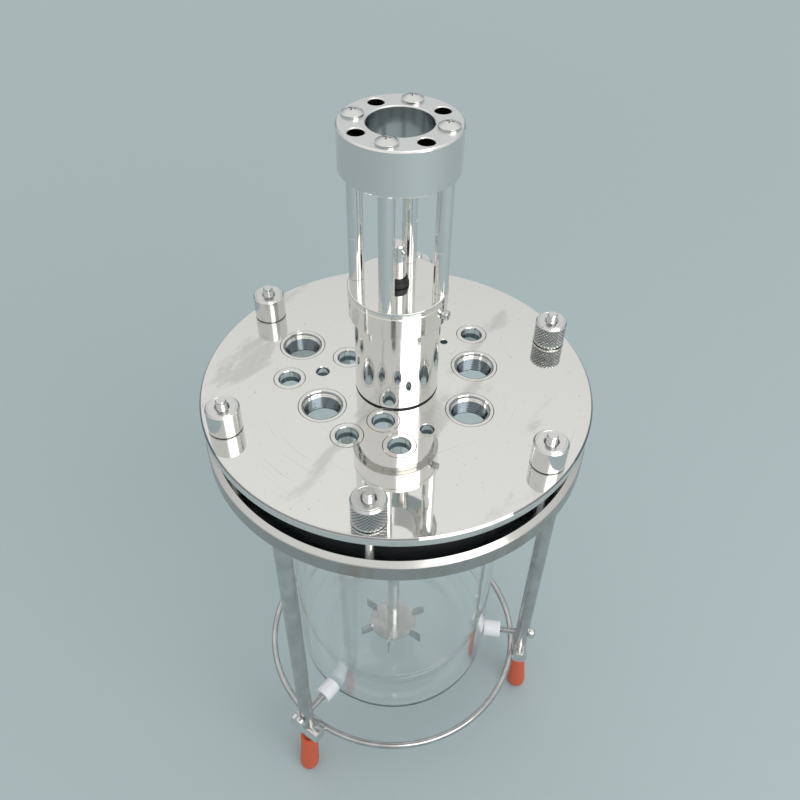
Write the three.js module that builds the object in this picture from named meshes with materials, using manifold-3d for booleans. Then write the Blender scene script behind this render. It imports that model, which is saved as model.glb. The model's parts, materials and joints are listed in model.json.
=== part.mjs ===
// Bench bioreactor: a glass vessel hung under a flanged stainless head that stands on three legs.
// A bearing column on the lid carries the agitator shaft, and four rods above it hold the motor ring.
// Millimetres, +Z up. The origin lies on the bench, on the axis of the agitator shaft.
import * as THREE from 'three';
import { mergeVertices } from 'three/addons/utils/BufferGeometryUtils.js';
import Module from 'manifold-3d';

const wasm = await Module();
wasm.setup();

// ---------- Driving dimensions ----------

// Number of flats that stand for a round face.
const wideSides = 48;
const vesselSides = 32;
const columnSides = 20;
const rodSides = 10;
const wireSides = 6;
const boreSides = 16;
const cornerSteps = 4;
const shoulderSteps = 4;

// Clearances.
const boltClearance = 0.3;
const seatGap = 0.3;
const pressGap = 0.1;
const runningGap = 0.4;
const overcut = 1;

// Feet and legs.
const legCount = 3;
const firstLegAngle = 270;
const legRadius = 5;
const legThreadRadius = 4;
const legThreadLength = 8;
const legStemRadius = 3.5;
const footHeight = 41;
const footRadius = 7.1;
const footTopRadius = 6.2;
const footPatchRadius = 4.2;
const footRounding = 7;
const footLean = 3.5;
const footSocketDepth = 15;
const footBeadHeight = 3;
const footBeadProud = 0.3;

// Cross blocks, stabiliser ring and radial adjusters.
const stemShown = 10.5;
const blockRadius = 6;
const blockFlats = 11;
const blockLength = 24;
const stabiliserInset = 6.7;
const wireRadius = 2.3;
const adjusterRise = 13;
const adjusterRadius = 2.5;
const adjusterKnobRadius = 4.2;
const adjusterKnobLength = 4.6;
const adjusterKnobGap = 0.5;
const tipRadius = 6;
const tipLength = 12.5;
const tipSocketDepth = 8;
const tipChamfer = 0.8;

// Clamping ring and lid.
const clampThickness = 12.5;
const clampNeckGap = 2;
const clampChamferWidth = 3.5;
const clampChamferHeight = 2;
const edgeBreak = 0.8;
const lidThickness = 6;
const lidEdgeBreak = 1;
const closureCount = 6;
const studRadius = 3;
const studToRim = 11.7;
const studToLeg = 1.5;
const studDepth = 9;
const studShown = 4.7;
const studTipBreak = 0.6;
const nutRadius = 7.9;
const nutHeight = 15.4;
const nutChamfer = 1;
const nutBaseBreak = 0.6;
const nutMouth = 1;

// Ports: a plain bore with a boss welded under the lid.
const bossWall = 2.2;
const portKinds = {
  probe: { bore: 20.4, boss: 10, sides: boreSides },
  thermowell: { bore: 11.8, boss: 8, sides: rodSides },
  addition: { bore: 7.4, boss: 6, sides: rodSides },
  vent: { bore: 4.2, boss: 3, sides: rodSides },
};
const ports = [
  { kind: 'probe', circle: 63.8, angle: 188.6 },
  { kind: 'probe', circle: 45.3, angle: 243.6 },
  { kind: 'probe', circle: 45.8, angle: 8.6 },
  { kind: 'probe', circle: 46.9, angle: 54.8 },
  { kind: 'thermowell', circle: 34.8, angle: 181.7 },
  { kind: 'thermowell', circle: 60.7, angle: 216.1 },
  { kind: 'thermowell', circle: 49.8, angle: 275.9 },
  { kind: 'thermowell', circle: 31.9, angle: 294.8 },
  { kind: 'thermowell', circle: 49.4, angle: 309.5 },
  { kind: 'thermowell', circle: 62, angle: 81 },
  { kind: 'addition', circle: 43, angle: 207.2 },
  { kind: 'addition', circle: 40.9, angle: 331.3 },
  { kind: 'vent', circle: 45.1, angle: 88.9 },
];

// Glass vessel and the rubber ring round its flange.
const vesselRadius = 70;
const vesselWall = 3.5;
const vesselFloor = 4;
const vesselHeight = 262;
const vesselCorner = 20;
const mouthRadius = 78;
const neckWall = 4;
const neckLength = 40;
const shoulderLength = 26;
const glassFlangeWidth = 10;
const glassFlangeThickness = 9.4;
const vesselDrop = 9.8;
const gasketLip = 3;
const gasketWall = 2.7;
const gasketMouthProud = 1;
const gasketRingProud = 0.5;

// Bearing column.
const columnRadius = 23.1;
const columnHeight = 51.3;
const collarRadius = 26;
const collarHeight = 13;
const coverThickness = 3.5;
const spigotRadius = 14.5;
const lockNutThickness = 7;
const lockNutFlats = 38;
const spigotProud = 2;
const columnBore = 8;
const oRingRadius = 0.45;
const oRingSides = 6;
const bearingRadius = 11;
const bearingWidth = 7;
const bearingSplit = 6.3;
const lowerBearingRise = 6;
const lipSealHeight = 8;
const vRingRadius = 5.8;
const vRingHeight = 4.5;
const sideScrewAngle = 3;
const sideScrewRadius = 1.8;
const sideScrewLength = 6;
const sideScrewHeadRadius = 3;
const sideScrewHeadLength = 3.8;

// Motor frame: four rods and the ring on them.
const rodCount = 4;
const rodCentreRadius = 22;
const firstRodAngle = 22.6;
const rodRadius = 4;
const rodLength = 64.5;
const rodStudRadius = 2.5;
const rodStudLength = 11;
const spannerRise = 24;
const spannerHeight = 12;
const spannerFlats = 6.9;
const headRadius = 28.6;
const headBore = 15.3;
const headThickness = 22;
const clearanceHoleRadius = 3.85;
const screwRadius = 2.5;
const screwReach = 8;
const screwHoleSpare = 2;
const screwHeadRadius = 5.3;
const screwHeadHeight = 3.4;
const screwHeadEdge = 1.6;
const screwCrownShares = [[0.88, 0.75], [0.6, 0.95]];

// Agitator.
const shaftRadius = 4.5;
const journalRadius = 4;
const stubHeight = 24.2;
const shaftTipBreak = 0.7;
const drivePinRadius = 1.25;
const drivePinLength = 11;
const drivePinDrop = 4;
const drivePinAngle = -15;
const discRise = 17;
const discRadius = 17.5;
const discThickness = 1.5;
const hubRadius = 8.5;
const hubLength = 9;
const bladeCount = 6;
const bladeReach = 26;
const bladeLength = 9.5;
const bladeHeight = 10;
const bladeThickness = 1;
const setScrewRadius = 1.9;

// ---------- Radii worked out from them, from the mouth of the vessel outwards ----------

const neckRadius = mouthRadius + neckWall;
const clampBore = neckRadius + clampNeckGap;
const glassFlangeRadius = neckRadius + glassFlangeWidth;
const gasketCavityRadius = glassFlangeRadius + boltClearance;
const gasketRadius = gasketCavityRadius + gasketWall;
const studCentreRadius = gasketRadius + boltClearance + studRadius;
const legCentreRadius = studCentreRadius + studToLeg;
const flangeRadius = studCentreRadius + studToRim;
const stabiliserRadius = legCentreRadius - stabiliserInset;

// ---------- Heights worked out from them ----------

const flangeStack = clampThickness + gasketLip + seatGap + glassFlangeThickness;
const legLength = vesselHeight - flangeStack - vesselDrop;

const blockBottom = footHeight + stemShown;
const blockCentre = blockBottom + blockFlats / 2;
const blockTop = blockBottom + blockFlats;
const adjusterHeight = blockTop + adjusterRise;
const clampBottom = blockTop + legLength;
const clampTop = clampBottom + clampThickness;
const glassFlangeBottom = clampTop + gasketLip + seatGap;
const glassFlangeTop = glassFlangeBottom + glassFlangeThickness;
const lidBottom = glassFlangeTop + seatGap + gasketLip;
const lidTop = lidBottom + lidThickness;
const vesselBottom = glassFlangeTop - vesselHeight;
const collarBottom = lidTop + columnHeight;
const housingTop = collarBottom + collarHeight;
const coverTop = housingTop + coverThickness;
const headBottom = coverTop + rodLength;
const headTop = headBottom + headThickness;
const lowerBearingBottom = lidTop + lowerBearingRise;
const upperBearingBottom = housingTop - bearingWidth - seatGap;
const discHeight = vesselBottom + vesselFloor + discRise;
const hubBottom = discHeight - discThickness / 2 - hubLength;
const shaftTop = coverTop + stubHeight;
const bearingPocket = bearingRadius + pressGap;

// ---------- Geometry helpers ----------

const radians = THREE.MathUtils.degToRad;

/** A closed manifold-3d solid from any closed three.js geometry. */
function toSolid(geometry) {
  const bare = geometry.clone();
  bare.deleteAttribute('normal');
  bare.deleteAttribute('uv');
  const merged = mergeVertices(bare, 1e-4);
  const corners = merged.index.array;
  const position = merged.attributes.position;
  const triangles = [];
  for (let i = 0; i < corners.length; i += 3) {
    const [a, b, c] = [corners[i], corners[i + 1], corners[i + 2]];
    if (a !== b && b !== c && c !== a) triangles.push([a, b, c]);
  }
  const points = Array.from({ length: position.count }, (_, i) => {
    return new THREE.Vector3().fromBufferAttribute(position, i);
  });
  const volume = triangles.reduce((sum, [a, b, c]) => {
    return sum + points[a].dot(points[b].clone().cross(points[c]));
  }, 0);
  const outward = volume > 0 ? triangles : triangles.map(([a, b, c]) => [a, c, b]);
  const mesh = new wasm.Mesh({
    numProp: 3,
    vertProperties: new Float32Array(position.array),
    triVerts: new Uint32Array(outward.flat()),
  });
  return new wasm.Manifold(mesh);
}

/** A body turned about Z from a profile of [radius, height] corners. */
function turned(profile, sides = columnSides) {
  const points = profile.map(([radius, height]) => new THREE.Vector2(radius, height));
  return toSolid(new THREE.LatheGeometry(points, sides).rotateX(Math.PI / 2));
}

/** A turned ring: its profile closes on itself. */
function turnedRing(profile, sides = columnSides) {
  return turned([...profile, profile[0]], sides);
}

/** A plain ring between two radii and two heights. */
function sleeve(inner, outer, bottom, top, sides = columnSides) {
  return turnedRing([[inner, bottom], [outer, bottom], [outer, top], [inner, top]], sides);
}

/** An upright cylinder at x, y. */
function post(radius, bottom, top, sides = boreSides, x = 0, y = 0) {
  const cylinder = new THREE.CylinderGeometry(radius, radius, top - bottom, sides);
  cylinder.rotateX(Math.PI / 2);
  cylinder.translate(x, y, (top + bottom) / 2);
  return toSolid(cylinder);
}

/** A cylinder along X, from one radius to another, at a height. */
function radialPost(radius, from, to, height, sides = rodSides) {
  const cylinder = new THREE.CylinderGeometry(radius, radius, to - from, sides);
  cylinder.rotateZ(Math.PI / 2);
  cylinder.translate((from + to) / 2, 0, height);
  return toSolid(cylinder);
}

/** A box of the given size about a centre. */
function block(size, centre) {
  return toSolid(new THREE.BoxGeometry(...size).translate(...centre));
}

/** The corners of a quarter round or any other arc, as [radius, height]. */
function arc(centreRadius, centreHeight, radius, fromDegrees, toDegrees, steps) {
  return Array.from({ length: steps + 1 }, (_, i) => {
    const angle = radians(fromDegrees + ((toDegrees - fromDegrees) * i) / steps);
    return [centreRadius + radius * Math.cos(angle), centreHeight + radius * Math.sin(angle)];
  });
}

/** A smooth S between two radii over a height, as [radius, height]. */
function sweptShoulder(fromRadius, toRadius, fromHeight, toHeight, steps) {
  return Array.from({ length: steps + 1 }, (_, i) => {
    const share = i / steps;
    const blend = (1 - Math.cos(Math.PI * share)) / 2;
    const radius = THREE.MathUtils.lerp(fromRadius, toRadius, blend);
    return [radius, THREE.MathUtils.lerp(fromHeight, toHeight, share)];
  });
}

/** The x, y place at a radius and an angle in degrees. */
function polar(radius, degrees) {
  return [radius * Math.cos(radians(degrees)), radius * Math.sin(radians(degrees))];
}

/** Evenly spaced angles round the axis. */
function spacedAngles(count, first) {
  return Array.from({ length: count }, (_, i) => first + (360 * i) / count);
}

// ---------- Finishes ----------

const polishedSteel = { color: 0xd2d2d0, roughness: 0.12, metalness: 1 };
const turnedSteel = { color: 0xb9bab8, roughness: 0.3, metalness: 1 };
const blackRubber = { color: 0x15161a, roughness: 0.6, metalness: 0 };
const orangeSilicone = { color: 0xcd5532, roughness: 0.5, metalness: 0 };
const whitePolymer = { color: 0xf0eef2, roughness: 0.35, metalness: 0 };
const clearGlass = { color: 0xd6e8e6, roughness: 0.05, metalness: 0, transparent: true, opacity: 0.3 };

/** A named mesh with a material of its own. */
function piece(name, solid, finish) {
  const { vertProperties, triVerts } = solid.getMesh();
  const geometry = new THREE.BufferGeometry();
  geometry.setAttribute('position', new THREE.BufferAttribute(vertProperties, 3));
  geometry.setIndex(new THREE.BufferAttribute(triVerts, 1));
  geometry.computeVertexNormals();
  const mesh = new THREE.Mesh(geometry, new THREE.MeshStandardMaterial(finish));
  mesh.name = name;
  return mesh;
}

// ---------- Head: lid, clamping ring, gasket ----------

const studAngles = spacedAngles(closureCount, 0);
const legAngles = spacedAngles(legCount, firstLegAngle);
const rodAngles = spacedAngles(rodCount, firstRodAngle);
const studHoleRadius = studRadius + boltClearance;
const rodHoleRadius = rodStudRadius + boltClearance;
const screwHoleRadius = screwRadius + boltClearance;
const spigotHoleRadius = spigotRadius + boltClearance;

function lidPlate() {
  let lid = turned([
    [0, lidBottom],
    [flangeRadius - edgeBreak, lidBottom],
    [flangeRadius, lidBottom + edgeBreak],
    [flangeRadius, lidTop - lidEdgeBreak],
    [flangeRadius - lidEdgeBreak, lidTop],
    [0, lidTop],
  ], wideSides);
  const middle = lidBottom + lidThickness / 2;
  for (const { kind, circle, angle } of ports) {
    const { bore, boss, sides } = portKinds[kind];
    const place = polar(circle, angle);
    lid = lid.add(post(bore / 2 + bossWall, lidBottom - boss, middle, sides, ...place));
  }
  for (const { kind, circle, angle } of ports) {
    const { bore, boss, sides } = portKinds[kind];
    const place = polar(circle, angle);
    lid = lid.subtract(post(bore / 2, lidBottom - boss - overcut, lidTop + overcut, sides, ...place));
  }
  for (const angle of studAngles) {
    const place = polar(studCentreRadius, angle);
    lid = lid.subtract(post(studHoleRadius, lidBottom - overcut, lidTop + overcut, rodSides, ...place));
  }
  return lid.subtract(post(spigotHoleRadius, lidBottom - overcut, lidTop + overcut, columnSides));
}

function clampRing() {
  let ring = turnedRing([
    [clampBore, clampBottom],
    [flangeRadius - edgeBreak, clampBottom],
    [flangeRadius, clampBottom + edgeBreak],
    [flangeRadius, clampTop - clampChamferHeight],
    [flangeRadius - clampChamferWidth, clampTop],
    [clampBore, clampTop],
  ], wideSides);
  for (const angle of studAngles) {
    const place = polar(studCentreRadius, angle);
    const holeBottom = clampTop - studDepth;
    ring = ring.subtract(post(studHoleRadius, holeBottom, clampTop + overcut, rodSides, ...place));
  }
  const threadRadius = legThreadRadius + boltClearance;
  const threadTop = clampBottom + legThreadLength + seatGap;
  for (const angle of legAngles) {
    const place = polar(legCentreRadius, angle);
    ring = ring.subtract(post(threadRadius, clampBottom - overcut, threadTop, rodSides, ...place));
  }
  return ring;
}

/** A rubber ring of C section that wraps the flange of the vessel. */
function flangeGasket() {
  return turnedRing([
    [clampBore + gasketRingProud, clampTop],
    [gasketRadius, clampTop],
    [gasketRadius, lidBottom],
    [mouthRadius + gasketMouthProud, lidBottom],
    [mouthRadius + gasketMouthProud, lidBottom - gasketLip],
    [gasketCavityRadius, lidBottom - gasketLip],
    [gasketCavityRadius, clampTop + gasketLip],
    [clampBore + gasketRingProud, clampTop + gasketLip],
  ], vesselSides);
}

function studSolid() {
  return turned([
    [0, clampTop - studDepth + seatGap],
    [studRadius, clampTop - studDepth + seatGap],
    [studRadius, lidTop + nutHeight + studShown - studTipBreak],
    [studRadius - studTipBreak, lidTop + nutHeight + studShown],
    [0, lidTop + nutHeight + studShown],
  ], rodSides);
}

function thumbNut() {
  return turnedRing([
    [studHoleRadius, lidTop],
    [nutRadius - nutBaseBreak, lidTop],
    [nutRadius, lidTop + nutBaseBreak],
    [nutRadius, lidTop + nutHeight - nutChamfer],
    [nutRadius - nutChamfer, lidTop + nutHeight],
    [studHoleRadius + nutMouth, lidTop + nutHeight],
    [studHoleRadius, lidTop + nutHeight - nutMouth],
  ], boreSides);
}

// ---------- Glass vessel ----------

function glassVessel() {
  const neckBottom = glassFlangeTop - neckLength;
  const shoulderBottom = neckBottom - shoulderLength;
  const innerRadius = vesselRadius - vesselWall;
  const innerCorner = vesselCorner - vesselWall;
  const floorTop = vesselBottom + vesselFloor;
  const cornerCentre = vesselRadius - vesselCorner;
  return turned([
    [0, vesselBottom],
    ...arc(cornerCentre, vesselBottom + vesselCorner, vesselCorner, -90, 0, cornerSteps),
    ...sweptShoulder(vesselRadius, neckRadius, shoulderBottom, neckBottom, shoulderSteps),
    [neckRadius, glassFlangeBottom],
    [glassFlangeRadius, glassFlangeBottom],
    [glassFlangeRadius, glassFlangeTop],
    [mouthRadius, glassFlangeTop],
    ...sweptShoulder(mouthRadius, innerRadius, neckBottom, shoulderBottom, shoulderSteps),
    ...arc(innerRadius - innerCorner, floorTop + innerCorner, innerCorner, 0, -90, cornerSteps),
    [0, floorTop],
  ], vesselSides);
}

// ---------- Legs, cross blocks, feet and adjusters, each drawn with its radius along X ----------

function legSolid() {
  const leg = turned([
    [0, footHeight - footSocketDepth + seatGap],
    [legStemRadius, footHeight - footSocketDepth + seatGap],
    [legStemRadius, blockTop],
    [legRadius, blockTop],
    [legRadius, clampBottom],
    [legThreadRadius, clampBottom],
    [legThreadRadius, clampBottom + legThreadLength],
    [0, clampBottom + legThreadLength],
  ], rodSides);
  const reach = legRadius + overcut;
  const hole = radialPost(adjusterRadius + boltClearance, -reach, reach, adjusterHeight);
  return leg.subtract(hole).translate([legCentreRadius, 0, 0]);
}

function crossBlock() {
  const bar = new THREE.CylinderGeometry(blockRadius, blockRadius, blockLength, boreSides);
  const flats = block([2 * blockRadius, blockLength, blockFlats], [0, 0, 0]);
  const stemHole = post(legStemRadius + boltClearance, -blockRadius, blockRadius, rodSides);
  const bored = toSolid(bar).intersect(flats).subtract(stemHole);
  const wireSeat = stabiliserWire(wireRadius + boltClearance);
  return bored.translate([legCentreRadius, 0, blockCentre]).subtract(wireSeat);
}

/** The wire hoop; a fatter one cuts its seat in the cross blocks. */
function stabiliserWire(radius) {
  const hoop = new THREE.TorusGeometry(stabiliserRadius, radius, wireSides, wideSides);
  return toSolid(hoop.translate(0, 0, blockCentre));
}

/** A soft cap pushed on the leg's stem, leaning outwards, with a flat worn where it stands. */
function footSolid() {
  const rounding = Array.from({ length: cornerSteps + 1 }, (_, i) => {
    const angle = radians((90 * i) / cornerSteps);
    const reach = (footRadius - footPatchRadius) * Math.sin(angle);
    return [footPatchRadius + reach, footRounding * (1 - Math.cos(angle))];
  });
  const cap = new THREE.LatheGeometry([
    [0, 0],
    ...rounding,
    [footTopRadius, footHeight - footBeadHeight],
    [footTopRadius + footBeadProud, footHeight - footBeadHeight / 2],
    [footTopRadius, footHeight],
    [0, footHeight],
  ].map(([radius, height]) => new THREE.Vector2(radius, height)), rodSides);
  cap.rotateX(Math.PI / 2);
  cap.translate(0, 0, -footHeight);
  cap.applyMatrix4(new THREE.Matrix4().makeShear(0, 0, 0, 0, -footLean / footHeight, 0));
  cap.translate(legCentreRadius, 0, footHeight);
  const socketBottom = footHeight - footSocketDepth;
  const socketRadius = legStemRadius + boltClearance;
  const socket = post(socketRadius, socketBottom, footHeight + overcut, rodSides, legCentreRadius);
  return toSolid(cap).subtract(socket);
}

const tipFace = vesselRadius + seatGap;

function adjusterScrew() {
  const knobStart = legCentreRadius + legRadius + adjusterKnobGap;
  const knobEnd = knobStart + adjusterKnobLength;
  const start = tipFace + tipLength - tipSocketDepth + seatGap;
  const profile = [
    [0, start],
    [adjusterRadius, start],
    [adjusterRadius, knobStart],
    [adjusterKnobRadius, knobStart],
    [adjusterKnobRadius, knobStart + adjusterKnobLength / 2],
    [adjusterKnobRadius * Math.SQRT1_2, knobEnd - adjusterKnobLength / 8],
    [0, knobEnd],
  ];
  return turned(profile, rodSides).rotate([0, 90, 0]).translate([0, 0, adjusterHeight]);
}

function adjusterTip() {
  const profile = [
    [0, tipFace],
    [tipRadius - tipChamfer, tipFace],
    [tipRadius, tipFace + tipChamfer],
    [tipRadius, tipFace + tipLength - tipChamfer],
    [tipRadius - tipChamfer, tipFace + tipLength],
    [adjusterRadius + boltClearance, tipFace + tipLength],
    [adjusterRadius + boltClearance, tipFace + tipLength - tipSocketDepth],
    [0, tipFace + tipLength - tipSocketDepth],
  ];
  return turned(profile, rodSides).rotate([0, 90, 0]).translate([0, 0, adjusterHeight]);
}

// ---------- Bearing column ----------

function bearingHousing() {
  const spigotBottom = lidBottom - lockNutThickness - spigotProud;
  const oRingSeat = 2 * oRingRadius + 2 * pressGap;
  let housing = turnedRing([
    [bearingPocket, spigotBottom],
    [spigotRadius, spigotBottom],
    [spigotRadius, lidTop],
    [columnRadius - oRingSeat, lidTop],
    [columnRadius - oRingSeat, lidTop + oRingSeat],
    [columnRadius, lidTop + oRingSeat],
    [columnRadius, collarBottom],
    [collarRadius, collarBottom],
    [collarRadius, housingTop],
    [bearingPocket, housingTop],
    [bearingPocket, upperBearingBottom],
    [columnBore, upperBearingBottom],
    [columnBore, lowerBearingBottom + bearingWidth],
    [bearingPocket, lowerBearingBottom + bearingWidth],
  ]);
  for (const angle of rodAngles) {
    const place = polar(rodCentreRadius, angle);
    const bottom = coverTop - rodStudLength - seatGap;
    housing = housing.subtract(post(rodHoleRadius, bottom, housingTop + overcut, rodSides, ...place));
  }
  const screwHole = radialPost(
    sideScrewRadius + boltClearance,
    collarRadius - sideScrewLength - seatGap,
    collarRadius + overcut,
    (collarBottom + housingTop) / 2,
  );
  return housing.subtract(screwHole.rotate([0, 0, sideScrewAngle]));
}

function bearingCover() {
  let cover = sleeve(journalRadius + runningGap, collarRadius, housingTop, coverTop);
  for (const angle of rodAngles) {
    const place = polar(rodCentreRadius, angle);
    const hole = post(rodHoleRadius, housingTop - overcut, coverTop + overcut, rodSides, ...place);
    cover = cover.subtract(hole);
  }
  return cover;
}

function columnORing() {
  const centre = columnRadius - oRingRadius - pressGap;
  const section = arc(centre, lidTop + oRingRadius + pressGap, oRingRadius, 0, 360, oRingSides).slice(1);
  return turnedRing(section);
}

function columnLockNut() {
  const corners = lockNutFlats / 2 / Math.cos(Math.PI / 6);
  const hexagon = post(corners, lidBottom - lockNutThickness, lidBottom, 6);
  return hexagon.subtract(post(spigotHoleRadius, 0, lidTop, columnSides));
}

/** The fixed half of a shielded ball bearing: outer race and shields. */
function outerRace(bottom) {
  return sleeve(bearingSplit + boltClearance, bearingRadius, bottom, bottom + bearingWidth);
}

/** The half that turns with the shaft. */
function innerRace(bottom) {
  return sleeve(journalRadius + pressGap, bearingSplit, bottom, bottom + bearingWidth);
}

function lipSeal() {
  const top = lowerBearingBottom - seatGap;
  return sleeve(shaftRadius + boltClearance, bearingRadius, top - lipSealHeight, top);
}

function vRingSeal() {
  const bottom = coverTop + seatGap;
  return turnedRing([
    [journalRadius + pressGap, bottom],
    [vRingRadius, bottom],
    [vRingRadius, bottom + vRingHeight / 3],
    [vRingRadius - vRingHeight / 6, bottom + vRingHeight / 2],
    [vRingRadius - vRingHeight / 6, bottom + vRingHeight],
    [journalRadius + pressGap, bottom + vRingHeight],
  ], boreSides);
}

function sideScrew() {
  const profile = [
    [0, collarRadius - sideScrewLength],
    [sideScrewRadius, collarRadius - sideScrewLength],
    [sideScrewRadius, collarRadius + seatGap],
    [sideScrewHeadRadius, collarRadius + seatGap],
    [sideScrewHeadRadius, collarRadius + seatGap + sideScrewHeadLength],
    [0, collarRadius + seatGap + sideScrewHeadLength],
  ];
  const screw = turned(profile, rodSides).rotate([0, 90, 0]);
  return screw.translate([0, 0, (collarBottom + housingTop) / 2]).rotate([0, 0, sideScrewAngle]);
}

// ---------- Motor frame ----------

/** One rod, standing on the cover at the origin, with spanner flats and a tapped top. */
function standoffRod() {
  const rod = turned([
    [0, coverTop - rodStudLength],
    [rodStudRadius, coverTop - rodStudLength],
    [rodStudRadius, coverTop],
    [rodRadius, coverTop],
    [rodRadius, headBottom],
    [0, headBottom],
  ], rodSides);
  const flatCentre = coverTop + spannerRise + spannerHeight / 2;
  const slab = [2 * rodRadius, 2 * rodRadius, spannerHeight];
  const offset = spannerFlats / 2 + rodRadius;
  const tapBottom = headBottom - screwReach - screwHoleSpare;
  return rod
    .subtract(block(slab, [0, offset, flatCentre]))
    .subtract(block(slab, [0, -offset, flatCentre]))
    .subtract(post(screwHoleRadius, tapBottom, headBottom + overcut, rodSides));
}

function headRing() {
  let ring = turnedRing([
    [headBore, headBottom],
    [headRadius - edgeBreak, headBottom],
    [headRadius, headBottom + edgeBreak],
    [headRadius, headTop - edgeBreak],
    [headRadius - edgeBreak, headTop],
    [headBore, headTop],
  ]);
  for (const angle of rodAngles) {
    const screwPlace = polar(rodCentreRadius, angle);
    const freePlace = polar(rodCentreRadius, angle + 180 / rodCount);
    ring = ring
      .subtract(post(screwHoleRadius, headBottom - overcut, headTop + overcut, rodSides, ...screwPlace))
      .subtract(post(clearanceHoleRadius, headBottom - overcut, headTop + overcut, rodSides, ...freePlace));
  }
  return ring;
}

/** A pan-head screw through the ring into a rod. */
function panScrew() {
  const bottom = headBottom - screwReach;
  return turned([
    [0, bottom],
    [screwRadius, bottom],
    [screwRadius, headTop],
    [screwHeadRadius, headTop],
    [screwHeadRadius, headTop + screwHeadEdge],
    ...screwCrownShares.map(([reach, rise]) => [reach * screwHeadRadius, headTop + rise * screwHeadHeight]),
    [0, headTop + screwHeadHeight],
  ], rodSides);
}

// ---------- Agitator ----------

function agitatorShaft() {
  const shaft = turned([
    [0, hubBottom],
    [shaftRadius, hubBottom],
    [shaftRadius, lowerBearingBottom],
    [journalRadius, lowerBearingBottom],
    [journalRadius, shaftTop - shaftTipBreak],
    [journalRadius - shaftTipBreak, shaftTop],
    [0, shaftTop],
  ], columnSides);
  const reach = journalRadius + overcut;
  const pinHole = radialPost(drivePinRadius + pressGap, -reach, reach, shaftTop - drivePinDrop);
  return shaft.subtract(pinHole.rotate([0, 0, drivePinAngle]));
}

function drivePin() {
  const half = drivePinLength / 2;
  return radialPost(drivePinRadius, -half, half, shaftTop - drivePinDrop).rotate([0, 0, drivePinAngle]);
}

/** A flat disc with upright blades let into its rim, on a hub below. */
function discTurbine() {
  const discBottom = discHeight - discThickness / 2;
  let turbine = post(discRadius, discBottom, discBottom + discThickness, columnSides);
  turbine = turbine.add(post(hubRadius, hubBottom, discHeight, columnSides));
  for (const angle of spacedAngles(bladeCount, 0)) {
    const bladeCentre = [bladeReach - bladeLength / 2, 0, discHeight];
    const blade = block([bladeLength, bladeThickness, bladeHeight], bladeCentre);
    turbine = turbine.add(blade.rotate([0, 0, angle]));
  }
  const bore = post(shaftRadius + pressGap, hubBottom - overcut, discHeight + bladeHeight, columnSides);
  const screwHeight = discBottom - hubLength / 2;
  const screwHole = radialPost(setScrewRadius + pressGap, 0, hubRadius + overcut, screwHeight);
  return turbine.subtract(bore).subtract(screwHole);
}

function hubSetScrew() {
  const height = discHeight - discThickness / 2 - hubLength / 2;
  return radialPost(setScrewRadius, shaftRadius + pressGap, hubRadius - seatGap, height);
}

// ---------- Assembly ----------

const bioreactor = new THREE.Group();

bioreactor.add(
  piece('lid_plate', lidPlate(), polishedSteel),
  piece('clamp_ring', clampRing(), polishedSteel),
  piece('flange_gasket', flangeGasket(), blackRubber),
  piece('glass_vessel', glassVessel(), clearGlass),
  piece('stabiliser_ring', stabiliserWire(wireRadius), turnedSteel),
  piece('bearing_housing', bearingHousing(), polishedSteel),
  piece('bearing_cover', bearingCover(), polishedSteel),
  piece('column_o_ring', columnORing(), blackRubber),
  piece('column_lock_nut', columnLockNut(), turnedSteel),
  piece('lower_bearing_outer_race', outerRace(lowerBearingBottom), turnedSteel),
  piece('lower_bearing_inner_race', innerRace(lowerBearingBottom), turnedSteel),
  piece('upper_bearing_outer_race', outerRace(upperBearingBottom), turnedSteel),
  piece('upper_bearing_inner_race', innerRace(upperBearingBottom), turnedSteel),
  piece('lip_seal', lipSeal(), blackRubber),
  piece('v_ring_seal', vRingSeal(), blackRubber),
  piece('collar_side_screw', sideScrew(), turnedSteel),
  piece('head_ring', headRing(), polishedSteel),
  piece('agitator_shaft', agitatorShaft(), turnedSteel),
  piece('drive_pin', drivePin(), turnedSteel),
  piece('disc_turbine', discTurbine(), turnedSteel),
  piece('hub_set_screw', hubSetScrew(), turnedSteel),
);

for (const [i, angle] of studAngles.entries()) {
  const [x, y] = polar(studCentreRadius, angle);
  const stud = piece(`closure_stud_${i + 1}`, studSolid(), turnedSteel);
  const nut = piece(`thumb_nut_${i + 1}`, thumbNut(), turnedSteel);
  for (const mesh of [stud, nut]) {
    mesh.position.set(x, y, 0);
    bioreactor.add(mesh);
  }
}

for (const [i, angle] of legAngles.entries()) {
  const corner = new THREE.Group();
  corner.rotation.z = radians(angle);
  corner.add(
    piece(`leg_${i + 1}`, legSolid(), turnedSteel),
    piece(`cross_block_${i + 1}`, crossBlock(), turnedSteel),
    piece(`foot_${i + 1}`, footSolid(), orangeSilicone),
    piece(`adjuster_screw_${i + 1}`, adjusterScrew(), turnedSteel),
    piece(`adjuster_tip_${i + 1}`, adjusterTip(), whitePolymer),
  );
  bioreactor.add(corner);
}

for (const [i, angle] of rodAngles.entries()) {
  const [x, y] = polar(rodCentreRadius, angle);
  const rod = piece(`standoff_rod_${i + 1}`, standoffRod(), turnedSteel);
  const screw = piece(`head_screw_${i + 1}`, panScrew(), turnedSteel);
  for (const mesh of [rod, screw]) {
    mesh.position.set(x, y, 0);
    mesh.rotation.z = radians(angle);
    bioreactor.add(mesh);
  }
}

export default bioreactor;
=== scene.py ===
import json
import math

import bmesh
import bpy
from mathutils import Matrix, Vector


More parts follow.
